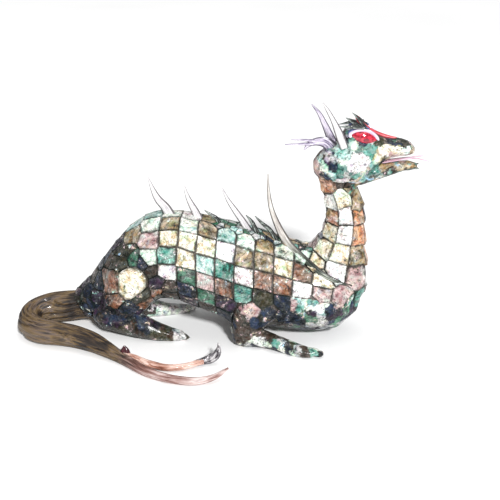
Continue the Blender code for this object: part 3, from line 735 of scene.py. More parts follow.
@dataclass
class Cutter:
    """Cuts the flats: closed thin plates with a ground edge, fitted to each other with a joint between."""

    aslant = (0.12, 0.31, 0.94)  # a way that no flat faces exactly, which its first axis is square to
    joint: float = 0.022  # the joint's width, as a share of a flat's reach
    bevel: float = 0.035  # the ground edge's width, likewise
    limit: float = 1.55  # how far from its middle a flat can go, likewise
    thickness: float = 3.0  # a flat's thickness at most, which is half its reach on a small one
    thinnest: float = 1.5  # and at least
    floor: float = 0.2  # how high over the floor it stays
    proud: float = 0.2  # how far the face stands out of its plane
    chip: float = 0.05  # how deep the outline is chipped on average, as a share
    crown: float = 0.35  # how high the face is crowned at most
    crowning: tuple[float, float] = (-0.2, 1.0)  # the least and the greatest share of that
    crown_play: float = 0.2  # how far from the middle the crown may lie, as a share of the way to a corner
    ring: tuple[float, float] = (0.55, 0.6)  # how far out the crown's ring lies and how high, as shares
    stray: float = 0.9  # how far a flat's face may lie off the skin before it is drawn to it
    near: int = 14  # how many neighbours can cut into a flat
    corners: int = 12  # how many corners a flat can have

    def outlines(self, seeds: Seeds, centre: np.ndarray, axes: np.ndarray) -> tuple[np.ndarray, np.ndarray]:
        """Each flat's corners in its own plane, in order round it, and how many it has.

        A flat reaches to the plane where its power equals its neighbour's, with the back levelled, drawn in
        by half the joint. Eight more lines keep it within its limit. A corner is where two of these lines
        cross inside all the others.

        Args:
            seeds: the flats' seeds.
            centre: the middle of each flat.
            axes: two unit vectors in each flat's plane.

        Returns:
            The corners, padded with infinities, and their number.
        """
        count = len(seeds.place)
        place, middle = Shear.levelled(seeds.place), Shear.levelled(centre)
        square = (place**2).sum(axis=1)
        gap = square[:, None] + square[None] - 2 * place @ place.T
        np.fill_diagonal(gap, np.inf)
        close = np.argpartition(gap, self.near, axis=1)[:, : self.near]
        own = place - middle
        other = place[close] - middle[:, None]
        way = other - own[:, None]
        x, y, z = np.moveaxis(way, 2, 0)
        tipped = np.stack([x - Shear.slope(centre)[:, None] * z, y, z], axis=2)
        flat_way = np.einsum("nmk,nak->nma", tipped, axes)
        size = np.maximum(np.linalg.norm(flat_way, axis=2), 1e-6)
        level = (other**2).sum(axis=2) - (own**2).sum(axis=1)[:, None]
        level += (seeds.reach**2)[:, None] - seeds.reach[close] ** 2
        offset = level / (2 * size) - self.joint / 2 * seeds.reach[:, None]
        turn = rng.uniform(0, math.pi / 4, count)[:, None] + np.arange(8) * math.pi / 4
        fence = np.stack([np.cos(turn), np.sin(turn)], axis=2)
        facing = np.concatenate([flat_way / size[..., None], fence], axis=1)
        limit = np.broadcast_to(self.limit * seeds.reach[:, None], (count, 8))
        offset = np.concatenate([offset, limit], axis=1)
        i, j = np.triu_indices(offset.shape[1], 1)
        a, b = facing[:, i], facing[:, j]
        cross = a[..., 0] * b[..., 1] - a[..., 1] * b[..., 0]
        safe = np.where(np.abs(cross) < 1e-6, np.inf, cross)
        corner = np.stack(
            [
                (offset[:, i] * b[..., 1] - offset[:, j] * a[..., 1]) / safe,
                (offset[:, j] * a[..., 0] - offset[:, i] * b[..., 0]) / safe,
            ],
            axis=2,
        )
        within = np.einsum("npk,nlk->npl", corner, facing) <= offset[:, None] + 1e-7
        inside = within.all(axis=2) & np.isfinite(safe)
        angle = np.where(inside, np.arctan2(corner[..., 1], corner[..., 0]), np.inf)
        order = np.argsort(angle, axis=1)[:, : self.corners]
        number = inside.sum(axis=1)
        number[(offset <= 0).any(axis=1) | (number > self.corners)] = 0
        return np.take_along_axis(corner, order[..., None], axis=1), number

    def rings(self, corners: np.ndarray, reach: np.ndarray) -> list[tuple[np.ndarray, np.ndarray]]:
        """The rings of places that make up each flat's face, in its own plane, and how high they lie.

        The outline, with a point between each two corners, is chipped inwards at random. Inside it are the
        inner side of the ground edge, a ring part of the way to the middle, and the crown's single place.

        Args:
            corners: the flats' corners, as many for each.
            reach: the flats' reaches.

        Returns:
            The places of each ring and their heights, from the outline inwards.
        """
        between = (corners + np.roll(corners, -1, axis=1)) / 2
        outline = np.stack([corners, between], axis=2).reshape(len(corners), -1, 2)
        middle = outline.mean(axis=1, keepdims=True)
        chipped = rng.uniform(1 - 2 * self.chip, 1, outline.shape[:2])[..., None]
        outline = middle + (outline - middle) * chipped
        away = outline - middle
        ground = self.bevel * reach[:, None, None]
        inner = outline - away / np.linalg.norm(away, axis=2, keepdims=True) * ground
        half = middle + self.ring[0] * (inner - middle)
        crown = middle + rng.uniform(-self.crown_play, self.crown_play, middle.shape) * away[:, :1]
        lift = rng.uniform(*self.crowning, (len(corners), 1, 1)) * self.crown * MM
        return [(outline, -ground), (inner, 0 * ground), (half, self.ring[1] * lift), (crown, lift)]

    def cut(self, seeds: Seeds, skin: Skin, bare: tuple[Region, ...]) -> "Mosaic":
        """Fit a plate over each seed's share of the skin.

        The plate lies in the plane square to the mean normal of its share, raised to half-way from the mean
        to the highest of it. Its outline is carried down as a side, in over a ground edge, and up to a slight
        crown. Where its face lies further off the skin than it may, it is drawn to it, and a flat that laps
        its neighbour may lie further off.

        Args:
            seeds: where the flats go.
            skin: what they lie on.
            bare: the regions without flats.

        Returns:
            The flats.
        """
        owner = nearest(skin.points, seeds)
        count = len(seeds.place)
        size = np.bincount(owner, minlength=count)
        held = np.maximum(size, 1)[:, None]
        centre = np.stack([np.bincount(owner, column, count) for column in skin.points.T], axis=1) / held
        normal = unit(np.stack([np.bincount(owner, column, count) for column in skin.normals.T], axis=1))
        height = ((skin.points - centre[owner]) * normal[owner]).sum(axis=1)
        top = np.full(count, -1.0)
        np.maximum.at(top, owner, height)
        centre = centre + (0.5 * np.maximum(top, 0)[:, None]) * normal
        normal = unit(normal + seeds.lean)
        side = unit(np.cross(normal, self.aslant))
        axes = np.stack([side, np.cross(normal, side)], axis=1)
        corners, number = self.outlines(seeds, centre, axes)
        limb = np.isin(region_of(FRAME.drawn(centre)), [region.value for region in bare])
        number[(size < 3) | limb] = 0
        points, faces, owners, worn = [], [], [], []
        start = 0
        for sides in range(3, self.corners + 1):
            which = np.flatnonzero(number == sides)
            if not len(which):
                continue
            out = normal[which, None]
            levels = self.rings(corners[which, :sides], seeds.reach[which])
            flat = [np.einsum("npa,nak->npk", shape, axes[which]) for shape, _ in levels]
            rise = [(self.proud * MM + level) * out for _, level in levels]
            face = np.concatenate([centre[which, None] + a + b for a, b in zip(flat, rise)], axis=1)
            foot = skin.closest(face.reshape(-1, 3)).reshape(face.shape)
            off = face - foot
            far = np.linalg.norm(off, axis=2, keepdims=True)
            leave = self.stray * MM + seeds.reach[which] * np.maximum(seeds.lean[which, 2], 0)
            face = foot + off * np.minimum(1, leave[:, None, None] / np.maximum(far, 1e-9))
            m = 2 * sides
            deep = np.clip(0.5 * seeds.reach[which], self.thinnest * MM, self.thickness * MM)[:, None, None]
            plate = np.concatenate([face[:, :m] - deep * out, face], axis=1)
            k = np.arange(m)
            n = (k + 1) % m
            strip = np.stack([k, n, n + m, k + m], axis=1)
            walls = [strip + r * m for r in (0, 1, 2)]
            fan = np.stack([k + 3 * m, n + 3 * m, np.full(m, 4 * m)], axis=1)
            first = start + np.arange(len(which))[:, None, None] * (4 * m + 1)
            for shape in (np.concatenate(walls), fan, k[None, ::-1]):
                faces.extend((shape + first).reshape(-1, shape.shape[1]).tolist())
            points.append(plate.reshape(-1, 3))
            owners.append(np.repeat(which, 4 * m + 1))
            worn.append(np.tile(np.concatenate([np.ones(3 * m), np.full(m, 0.5), [0.0]]), len(which)))
            start += len(which) * (4 * m + 1)
        places = np.concatenate(points)
        places[:, 2] = np.maximum(places[:, 2], self.floor * MM)
        return Mosaic(places, faces, np.concatenate(owners), np.concatenate(worn), centre, axes)


@dataclass
class Mosaic:
    """The cut flats as one mesh, and what each of its places belongs to."""

    points: np.ndarray
    faces: list
    owner: np.ndarray
    worn: np.ndarray  # 1 along a flat's edge and 0 in its middle
    centre: np.ndarray
    axes: np.ndarray

    def piece(self, name: str, tones: list[Tone], material: bpy.types.Material) -> bpy.types.Object:
        """The flats as a piece, each with its tone's colours and its own place on the shell.

        A place on the shell is the point's place in its flat's plane, turned and shifted at random for
        each flat, as flats that were sawn from different shells are.

        Args:
            name: the piece's name.
            tones: each flat's tone.
            material: what they are made of.

        Returns:
            The piece.
        """
        piece = new_piece(name, self.points, self.faces, material)
        piece.data.set_sharp_from_angle(angle=math.radians(28))
        count = len(self.centre)
        shade = rng.uniform(0.82, 1.06, (count, 1))
        for attribute, key in (("shell_body", "body"), ("shell_band", "band")):
            colours = np.array([getattr(tone, key) for tone in tones])
            colours[:, :3] = np.clip(colours[:, :3] * shade, 0, 1)
            write_layer(piece.data, attribute, "FLOAT_COLOR", colours[self.owner])
        write_layer(piece.data, "shell_worn", "FLOAT", self.worn)
        off = self.points - self.centre[self.owner]
        local = np.einsum("pk,pak->pa", off, self.axes[self.owner])
        out = np.cross(self.axes[:, 0], self.axes[:, 1])[self.owner]
        turn = rng.uniform(0, 2 * math.pi, count)[self.owner]
        turned = np.stack(
            [
                local[:, 0] * np.cos(turn) - local[:, 1] * np.sin(turn),
                local[:, 0] * np.sin(turn) + local[:, 1] * np.cos(turn),
                (off * out).sum(axis=1),
            ],
            axis=1,
        )
        shift = rng.uniform(-1, 1, (count, 3))[self.owner]
        write_layer(piece.data, "shell_place", "FLOAT_VECTOR", turned + shift)
        return piece


@dataclass(frozen=True)
class Streaked:
    """Horn, wood or lacquer whose colour runs in streaks along the piece.

    The streaks read grain_place, the piece's places as they'd lie if it were straight.
    """

    name: str
    stops: tuple[tuple[float, str], ...]
    roughness: float
    streak: float = 1.2  # millimetres across a streak
    stretch: float = 14.0  # how much longer a streak is than wide
    relief: float = 0.25  # millimetres
    coat: float = 0.0
    metallic: float = 0.0
    ior: float = 1.5
    patch: float = 22.0  # millimetres across the broad patches
    patch_share: float = 0.35
    edge: str = ""  # the colour of a blade's edges, where it differs
    tip: tuple[tuple[float, str], ...] = ()  # the colours of its far part, where they differ
    tip_run: float = 0.0  # how many millimetres along it that part starts
    tip_fade: float = 30.0  # and over how many it sets in

    def make(self) -> bpy.types.Material:
        """The material."""
        look = {
            "Roughness": self.roughness,
            "IOR": self.ior,
            "Metallic": self.metallic,
            "Coat Weight": self.coat,
            "Coat Roughness": 0.08,
        }
        material, tree, shader = new_material(self.name, look)
        add = partial(add_node, tree)
        place = add("Attribute", {"attribute_name": "grain_place"}, {}).outputs["Vector"]
        drawn = add("Mapping", {"Scale": (1 / self.stretch, 1.0, 1.0)}, {"Vector": place})
        streaks = add(
            "TexNoise",
            {"Scale": 1 / (self.streak * MM), "Detail": 5.0, "Roughness": 0.62, "Distortion": 0.4},
            {"Vector": drawn},
        )
        patches = add("TexNoise", {"Scale": 1 / (self.patch * MM), "Detail": 2.0}, {"Vector": place})
        mixed = add("Mix", {"data_type": "FLOAT", 0: self.patch_share}, {2: streaks, 3: patches})
        shades = add("ValToRGB", {"stops": self.stops}, {"Fac": mixed.outputs[0]})
        colour = shades.outputs["Color"]
        if self.tip:
            far_shades = add("ValToRGB", {"stops": self.tip}, {"Fac": mixed.outputs[0]})
            run = add("SeparateXYZ", {}, {"Vector": place}).outputs["X"]
            slope, level = 1 / (self.tip_fade * MM), 0.5 - self.tip_run / self.tip_fade
            ahead = add("Math", {"operation": "MULTIPLY_ADD", 1: slope, 2: level}, {0: run})
            uneven = add("Math", {"operation": "SUBTRACT", 1: 0.5}, {0: streaks})
            blotched = add(
                "Math", {"operation": "MULTIPLY_ADD", 1: 2.0, "use_clamp": True}, {0: uneven, 2: ahead}
            )
            joined = add("Mix", {"data_type": "RGBA"}, {0: blotched, 6: colour, 7: far_shades})
            colour = joined.outputs[2]
        if self.edge:
            share = add("Attribute", {"attribute_name": "edge_share"}, {}).outputs["Fac"]
            ragged = add("Math", {"operation": "MULTIPLY_ADD", 1: 0.5}, {0: mixed.outputs[0], 2: share})
            rim = add("ValToRGB", {"stops": [(0.0, 0.0), (0.93, 0.0), (1.0, 0.9)]}, {"Fac": ragged})
            edged = add("Mix", {"data_type": "RGBA", 7: linear(self.edge)}, {0: rim, 6: colour})
            colour = edged.outputs[2]
        bump = add("Bump", {"Strength": 0.7, "Distance": self.relief * MM}, {"Height": streaks})
        feed(tree, shader, {"Base Color": colour, "Normal": bump})
        return material


PALE_HORN = Streaked(
    "polished_pale_horn",
    ((0.30, "4E4852"), (0.40, "A39CA6"), (0.47, "DAD6D8"), (0.60, "ECEAEA"), (0.72, "B6ADBA")),
    0.22, streak=0.9, stretch=22, coat=0.4, edge="4A4448",
)
# darker colours on its far part, from tip_run on, which lies along the base of the neck
QUILL_HORN = Streaked(
    "dark_ended_quill_horn",
    ((0.30, "4A4448"), (0.42, "8E8684"), (0.52, "C6C0BA"), (0.62, "EEEAE4"), (0.75, "8A8280")),
    0.25, streak=1.1, stretch=18, coat=0.3, edge="36322E",
    tip=((0.36, "10130F"), (0.46, "2A322A"), (0.53, "4E564A"), (0.59, "C0C4B8"), (0.66, "343C34")),
    tip_run=80.0,
)
LILAC_HORN = Streaked(
    "polished_lilac_horn",
    ((0.34, "3C3448"), (0.44, "746A86"), (0.50, "C2B8CC"), (0.58, "E4DEE8"), (0.68, "8A7F9C")),
    0.25, streak=1.0, stretch=12, coat=0.3, edge="4A4254",
)
DARK_SHELL = Streaked(
    "polished_dark_shell",
    ((0.34, "0C0D10"), (0.45, "262829"), (0.52, "484E4A"), (0.58, "96A09A"), (0.66, "2A2E30")),
    0.2, streak=1.6, stretch=4, coat=0.4, edge="16181C",
)
DRIFTWOOD = Streaked(
    "weathered_driftwood",
    (
        (0.38, "0E0A08"), (0.45, "281E18"), (0.49, "463729"), (0.53, "6E5833"), (0.57, "6A5A50"),
        (0.62, "221A16"),
    ),
    0.5, streak=2.0, stretch=15, relief=2.0, patch=34, patch_share=0.45, coat=0.1,
    tip=((0.34, "3E2620"), (0.44, "7A5248"), (0.51, "AE8E88"), (0.58, "E0D2CE"), (0.68, "8A6A6A")),
    tip_run=215.0,
)
COPPER_HORN = Streaked(
    "waxed_copper_horn",
    ((0.34, "3A2019"), (0.44, "84503E"), (0.51, "C39280"), (0.58, "E8D2C6"), (0.68, "A07270")),
    0.3, streak=0.9, stretch=26, coat=0.3,
)
MAROON_HORN = Streaked(
    "polished_maroon_horn",
    ((0.30, "140509"), (0.50, "3A0F19"), (0.70, "6A2A34")),
    0.25, streak=1.5, stretch=4, coat=0.5,
)
WORN_SILVER = Streaked(
    "worn_silver_leaf",
    ((0.34, "0E0D10"), (0.45, "39363B"), (0.53, "928E92"), (0.60, "E6E4E4"), (0.70, "454148")),
    0.25, streak=2.2, stretch=3, relief=1.0, coat=0.3, metallic=0.4,
)
RED_CORAL = Streaked(
    "polished_red_coral",
    ((0.30, "6E1420"), (0.46, "B5303C"), (0.58, "D4525A"), (0.72, "E88C8C")),
    0.28, streak=1.2, stretch=10, coat=0.3,
)
PINK_HORN = Streaked(
    "satin_pink_horn",
    ((0.30, "8E6478"), (0.46, "C997AE"), (0.58, "E6C8D8"), (0.72, "F6EAF2")),
    0.35, streak=0.9, stretch=14,
)
LILAC_PEARL = Streaked(
    "lilac_mother_of_pearl",
    ((0.30, "9A86B0"), (0.46, "D6C6E2"), (0.58, "F4ECF8"), (0.72, "E9D4E4")),
    0.2, streak=1.6, stretch=4, coat=0.5,
)
BLUE_SHELL = Streaked(
    "polished_blue_shell",
    ((0.30, "12142A"), (0.42, "2C3360"), (0.52, "4C5A8C"), (0.60, "AFC0D8"), (0.74, "2A2F55")),
    0.2, streak=1.2, stretch=4, coat=0.4,
)


@dataclass(frozen=True)
class RedGlass:
    """Moulded opaque glass, fire-polished: a deep red dome with darker smoke in it and one hard highlight."""

    name: str = "moulded_red_glass"

    def make(self) -> bpy.types.Material:
        """The material."""
        look = {"Roughness": 0.05, "IOR": 1.52, "Coat Weight": 1.0, "Coat Roughness": 0.02}
        material, tree, shader = new_material(self.name, look)
        add = partial(add_node, tree)
        place = add("Attribute", {"attribute_name": "grain_place"}, {}).outputs["Vector"]
        smoke = add(
            "TexNoise", {"Scale": 1 / (3.0 * MM), "Detail": 3.0, "Distortion": 1.2}, {"Vector": place}
        )
        shades = add(
            "ValToRGB",
            {"stops": [(0.32, "5E0A1C"), (0.48, "B4122E"), (0.62, "D8344C"), (0.75, "A81830")]},
            {"Fac": smoke},
        )
        feed(tree, shader, {"Base Color": shades})
        return material


@cache
def material_of(finish: CutShell | Grout | Streaked | RedGlass) -> bpy.types.Material:
    """A finish's material, made once."""
    return finish.make()


def stand_for(piece: bpy.types.Object, slot: str, *nodes: str) -> bpy.types.Object:
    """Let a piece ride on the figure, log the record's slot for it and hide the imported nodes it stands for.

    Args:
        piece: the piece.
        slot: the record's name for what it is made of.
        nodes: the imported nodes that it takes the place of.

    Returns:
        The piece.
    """
    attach(piece, "root")
    if nodes:
        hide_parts(*nodes)
    log.info("%s, %s, for %s", piece.name, slot, ", ".join(nodes) or "no packed node")
    return piece


def swept(
    name: str, rows: np.ndarray, profile: np.ndarray, side: tuple | None, finish: bpy.types.Material
) -> bpy.types.Object:
    """A closed profile carried along a path.

    Each place is the path's point, plus the profile's first value times the row's first half-size across,
    plus its second value times the second half-size upward. Across is square to the path, as near to side
    as it can be, or level where side is None. Upward is square to both. Both ends close in a point.

    Args:
        name: the piece's name.
        rows: drawn x, y, z and the two half-sizes in millimetres at each step.
        profile: the section, one row for each place round it, or a section for each step.
        side: which way across is.
        finish: the piece's material.

    Returns:
        The piece. On it are grain_place, its places as they'd lie if the path were straight, and edge_share,
        how far to an edge each of them lies.
    """
    along = unit(np.gradient(rows[:, :3], axis=0))
    level = np.cross((0.0, 0.0, 1.0), along)
    across = unit(level if side is None else side - (along @ np.array(side))[:, None] * along)
    upward = np.cross(along, across)
    steps = len(rows)
    shape = np.broadcast_to(profile, (steps, *profile.shape[-2:]))
    sides = shape.shape[1]
    a = rows[:, 3, None] * shape[..., 0]
    b = rows[:, 4, None] * shape[..., 1]
    skin = rows[:, None, :3] + a[..., None] * across[:, None] + b[..., None] * upward[:, None]
    run = lengths_along(rows[:, :3])
    straight = np.stack([np.broadcast_to(run[:, None], a.shape), a, b], axis=2)
    points = np.concatenate([skin.reshape(-1, 3), rows[:1, :3], rows[-1:, :3]])
    flat = np.concatenate([straight.reshape(-1, 3), [[0, 0, 0], [run[-1], 0, 0]]])
    k = np.arange(sides)
    n = (k + 1) % sides
    i = np.arange(steps - 1)[:, None] * sides
    walls = np.stack([i + k, i + n, i + sides + n, i + sides + k], axis=2).reshape(-1, 4)
    first = np.stack([n, k, np.full(sides, steps * sides)], axis=1)
    last_ring = (steps - 1) * sides
    last = np.stack([k + last_ring, n + last_ring, np.full(sides, steps * sides + 1)], axis=1)
    piece = new_piece(name, FRAME.place(points), walls.tolist() + first.tolist() + last.tolist(), finish)
    write_layer(piece.data, "grain_place", "FLOAT_VECTOR", flat * MM)
    write_layer(piece.data, "edge_share", "FLOAT", np.append(np.abs(shape[..., 1]), [1.0, 1.0]))
    return piece


def round_profile(sides: int) -> np.ndarray:
    """A circle of radius 1, as its cosine and sine at even angles."""
    angle = np.arange(sides) * 2 * math.pi / sides
    return np.stack([np.cos(angle), np.sin(angle)], axis=1)


@dataclass(frozen=True)
class Blade:
    """A curved flat blade of horn or shell, thickest along its middle and ribbed lengthwise."""

    name: str
    stations: tuple[tuple[float, float, float, float], ...]  # x, y, z and width
    thickness: float
    finish: Streaked
    ribs: float = 0.18  # how high its ribs are, as a share of its thickness
    slimmest: float = 0.22  # its least thickness, as a share of the greatest
    seat: float = 4.0  # how far its root goes on into what holds it

    def build(self, steps: int = 44, sides: int = 28) -> bpy.types.Object:
        """The blade as a surface.

        Its section at angle t has cos t along the width and sin t, to the power 1.4 in size, along the
        thickness, which swells and sinks with the cosine of six times t. Its thickness falls with its width.

        Args:
            steps: how many sections it has.
            sides: how many places each has.

        Returns:
            The piece.
        """
        table = np.array(self.stations, float)
        root = table[0].copy()
        root[:3] -= self.seat * unit(table[1, :3] - table[0, :3])
        rows = smooth_path(np.vstack([root, table]) if self.seat else table, steps)
        width = np.maximum(rows[:, 3], 0.3)
        thick = self.thickness * np.clip(width / width.max(), self.slimmest, 1)
        circle = round_profile(sides)
        angle = np.arange(sides) * 2 * math.pi / sides
        swell = 1 + self.ribs * np.cos(6 * angle)
        lens = np.sign(circle[:, 1]) * np.abs(circle[:, 1]) ** 1.4
        profile = np.stack([lens * swell, circle[:, 0]], axis=1)
        sized = np.column_stack([rows[:, :3], thick / 2, width / 2])
        return swept(self.name, sized, profile, (0.0, 1.0, 0.0), material_of(self.finish))


@dataclass(frozen=True)
class Almond:
    """One eye: an almond of red glass in a pale rim, with a dark lid over it and one under it.

    Along its length, at share s from -1 to 1, half its height is one less s squared, to the power 0.7.
    """

    side: int  # -1 is right, 1 left
    x: float = 136.7
    z: float = 209.3
    length: float = 24.0
    height: float = 10.8
    bulge: float = 4.5
    droop: float = 11.0
    rim: float = 2.4
    lift: float = 0.9
    lids = (("upper", 1.35, 3.0, 3.6, 1.7), ("lower", -2.9, -1.7, 3.4, 1.0))  # angles, margin and half-size

    def seat(self, skin: Skin) -> tuple[np.ndarray, np.ndarray, np.ndarray]:
        """The eye's middle on the skin, as drawn, the way it looks and the way its length runs forward."""
        start = FRAME.place((self.x, self.side * 200.0, self.z))
        place, normal, _, _ = skin.tree.ray_cast(Vector(start), Vector((0, -self.side, 0)))
        normal = np.array(normal)
        droop = math.radians(self.droop)
        forward = np.array([math.cos(droop), 0.0, -math.sin(droop)])
        return FRAME.drawn(np.array(place)), normal, unit(forward - forward @ normal * normal)

    def outline(
        self, skin: Skin, margin: float, lift: float, start: float, end: float, count: int
    ) -> np.ndarray:
        """Places along the almond's edge, larger than the eye by a margin and lifted off the skin.

        Args:
            skin: what it sits on.
            margin: how much larger, in millimetres.
            lift: how far out of the skin.
            start: the angle of the first place; 0 is the front corner and a quarter turn the top.
            end: the angle of the last.
            count: how many places.

        Returns:
            The drawn places, one row each.
        """
        middle, normal, forward = self.seat(skin)
        up = unit(np.cross(forward, normal)) * (1 if np.cross(forward, normal)[2] > 0 else -1)
        angle = np.linspace(start, end, count)[:, None]
        share = np.cos(angle)
        rise = np.sign(np.sin(angle)) * (1 - share**2) ** 0.7
        length, height = self.length / 2 + margin, self.height / 2 + margin
        return middle + lift * normal + share * length * forward + rise * height * up

    def build(self, skin: Skin) -> None:
        """The glass, the rim round it and the lids."""
        name = "right" if self.side < 0 else "left"
        middle, normal, forward = self.seat(skin)
        share = np.sin(np.linspace(-1.5, 1.5, 40))[:, None]
        bow = (1 - share**2) ** 0.7
        line = middle + self.lift * normal + share * self.length / 2 * forward
        rows = np.hstack([line, np.sqrt(bow) * (self.bulge - self.lift), bow * self.height / 2])
        glass = swept(f"eye_glass_{name}", rows, round_profile(40), tuple(normal), material_of(RedGlass()))
        stand_for(glass, "eye_glass", f"eye_{name}")
        ring = self.outline(skin, self.rim / 2, 0.6, 0.15, 2 * math.pi + 0.15, 81)
        width = np.full((81, 1), self.rim / 2 + 0.2)
        rows = np.hstack([ring, width, width * 1.2])
        pearl, blue = material_of(LILAC_PEARL), material_of(BLUE_SHELL)
        pale = swept(f"eye_rim_shell_{name}", rows, round_profile(12), tuple(normal), pearl)
        stand_for(pale, "rim", f"eye_rim_{name}")
        for lid, start, end, margin, thick in self.lids:
            path = self.outline(skin, margin, 0.0, start, end, 36)
            taper = thick * np.sin(np.linspace(0.12, math.pi - 0.12, 36))[:, None] ** 0.6
            rows = np.hstack([path, taper, taper])
            fold = swept(f"eye_lid_{lid}_{name}", rows, round_profile(12), tuple(normal), blue)
            stand_for(fold, "dark_shell")


@dataclass(frozen=True)
class Tail:
    """The driftwood tail that runs back from the rump, bends double and forks into two prongs."""

    trunk: tuple[tuple[float, ...], ...] = (
        (-131.3, 0, 18.5, 14, 15.5), (-143.3, 0, 18, 14, 15.5), (-162, -2, 15.6, 15.5, 16.3),
        (-179, -7, 14.8, 15, 15.6), (-192, -19, 13.8, 13.5, 14.6), (-191, -37, 12.8, 12.5, 13.6),
        (-176, -49, 12, 12, 12.8), (-158, -52, 11.4, 11.6, 12.2), (-141, -55, 10.6, 11, 11.4),
        (-122, -62, 9.4, 9.8, 10), (-106, -71, 8, 8, 8.2), (-91, -80, 6.2, 6, 6.4), (-78, -89, 5.2, 5.4, 5.4),
        (-56, -105, 4.4, 4.5, 4.6), (-32, -114, 4, 4.2, 4.2), (-10.5, -116, 4, 3.7, 3.9),
        (6, -109, 5, 2.8, 3),
        (18, -97, 8, 1, 1.1),
    )
    prong: tuple[tuple[float, ...], ...] = (
        (-96, -77, 7.4, 3, 3.2), (-76, -84, 6.6, 4, 4), (-60, -91, 5.4, 3.8, 3.8), (-42, -95, 4.6, 3.4, 3.4),
        (-24, -91, 4.4, 3, 3.2), (-8, -82, 5.2, 3, 3.2),
    )
    grooves: int = 11
    depth: float = 0.165  # how deep they are, as a share of the radius

    def fluted(self, steps: int, sides: int, twist: float) -> np.ndarray:
        """Sections with grooves that wander as they run along, deepest on the thick end.

        At angle t and step s the radius is one less a share of the cosine of the grooves' number times t,
        turned by the twist and by two slow waves of s. Two broader waves round it make it uneven.

        Args:
            steps: how many sections there are.
            sides: how many places each has.
            twist: how far the grooves turn from end to end, in radians.

        Returns:
            The sections' places, for a radius of 1.
        """
        angle = (np.arange(sides) * 2 * math.pi / sides)[None, :]
        share = np.linspace(0, 1, steps)[:, None]
        wander = twist * share + 0.35 * np.sin(9 * share + 2 * angle) + 0.2 * np.sin(23 * share)
        groove = np.maximum(0, np.cos(self.grooves * (angle + wander))) ** 2
        broad = 0.05 * np.sin(3 * (angle + 4 * share)) + 0.03 * np.sin(5 * angle - 17 * share)
        radius = 1 - self.depth * groove + broad - 0.02
        return np.stack([radius * np.cos(angle), radius * np.sin(angle)], axis=2)

    def build(self) -> None:
        """The trunk with its lower prong, and the upper prong let into it."""
        steps, sides = 420, 96
        rows, bark = smooth_path(self.trunk, steps), self.fluted(steps, sides, 1.6)
        trunk = swept("driftwood_tail", rows, bark, None, material_of(DRIFTWOOD))
        points = read_all(trunk.data.vertices, "co", 3)
        points[:, 2] = np.maximum(points[:, 2], 0.0)
        trunk.data.vertices.foreach_set("co", points.ravel())
        stand_for(trunk, "wood", "wood_tail")
        rows, bark = smooth_path(self.prong, 160), self.fluted(160, 48, 0.8)
        stand_for(swept("upper_prong", rows, bark, None, material_of(COPPER_HORN)), "wood")


class Studio:
    """White ground all round, one hard lamp beside the camera and a wide soft one overhead."""

    aim = (30.0, 0.0, 87.0)

    def __init__(self, azimuth: float, elevation: float, distance: float, lens: float) -> None:
        """Set where the camera stands.

        Args:
            azimuth: how far round it stands from the figure's right side, in degrees.
            elevation: how far up, in degrees.
            distance: how far from what it looks at, in millimetres.
            lens: its focal length in millimetres.
        """
        turn, rise = math.radians(azimuth), math.radians(elevation)
        level = math.cos(rise)
        self.back = np.array([math.sin(turn) * level, -math.cos(turn) * level, math.sin(rise)])
        self.right = np.array([math.cos(turn), math.sin(turn), 0.0])
        self.target = FRAME.place(self.aim)
        self.eye = self.target + distance * MM * self.back
        self.lens = lens

    def facing(self, piece: bpy.types.Object, place: np.ndarray) -> None:
        """Stand a camera or lamp at a place, looking at the figure."""
        piece.location = place
        piece.rotation_euler = Vector(self.target - place).to_track_quat("-Z", "Y").to_euler()
        bpy.context.scene.collection.objects.link(piece)

    def camera(self) -> None:
        """The camera, in place of any other."""
        data = bpy.data.cameras.new("photo_camera")
        data.lens = self.lens
        data.sensor_width = 36.0
        data.clip_start = 0.01
        data.clip_end = 50.0
        piece = bpy.data.objects.new("photo_camera", data)
        self.facing(piece, self.eye)
        bpy.context.scene.camera = piece

    def light(self) -> None:
        """A key light beside the camera, a wide soft one overhead and pale surroundings."""
        key = bpy.data.lights.new("key", "SUN")
        key.energy = 3.6
        key.angle = math.radians(7)
        way = self.back + 0.30 * self.right + np.array([0.0, 0.0, 0.28])
        self.facing(bpy.data.objects.new("key", key), self.target + 1.5 * way)
        soft = bpy.data.lights.new("overhead", "AREA")
        soft.size = 1.2
        soft.energy = 6.0
        self.facing(bpy.data.objects.new("overhead", soft), self.target + np.array([0.0, 0.1, 1.4]))
        world = bpy.data.worlds.new("white_room")
        world.use_nodes = True
        world.node_tree.nodes["Background"].inputs["Color"].default_value = (1, 1, 1, 1)
        world.node_tree.nodes["Background"].inputs["Strength"].default_value = 0.38
        bpy.context.scene.world = world
        bpy.context.scene.view_settings.view_transform = "Standard"

    def floor(self) -> None:
        """A wide sheet of white backing paper under the figure."""
        mesh = bpy.data.meshes.new("studio_floor")
        reach = 4.0
        corners = [(-reach, -reach, 0), (reach, -reach, 0), (reach, reach, 0), (-reach, reach, 0)]
        mesh.from_pydata(corners, [], [(0, 1, 2, 3)])
        material, tree, shader = new_material("white_backing_paper", {"Roughness": 0.85, "IOR": 1.45})
        add = partial(add_node, tree)
        place = add("TexCoord", {}, {}).outputs["Object"]
        mottle = add("TexNoise", {"Scale": 2.0, "Detail": 2.0}, {"Vector": place})
        shades = add("ValToRGB", {"stops": [(0.3, "F7F7F7"), (0.7, "FCFCFC")]}, {"Fac": mottle})
        feed(tree, shader, {"Base Color": shades})
        mesh.materials.append(material)
        piece = bpy.data.objects.new("studio_floor", mesh)
        piece.location.z = -0.0002
        bpy.context.scene.collection.objects.link(piece)
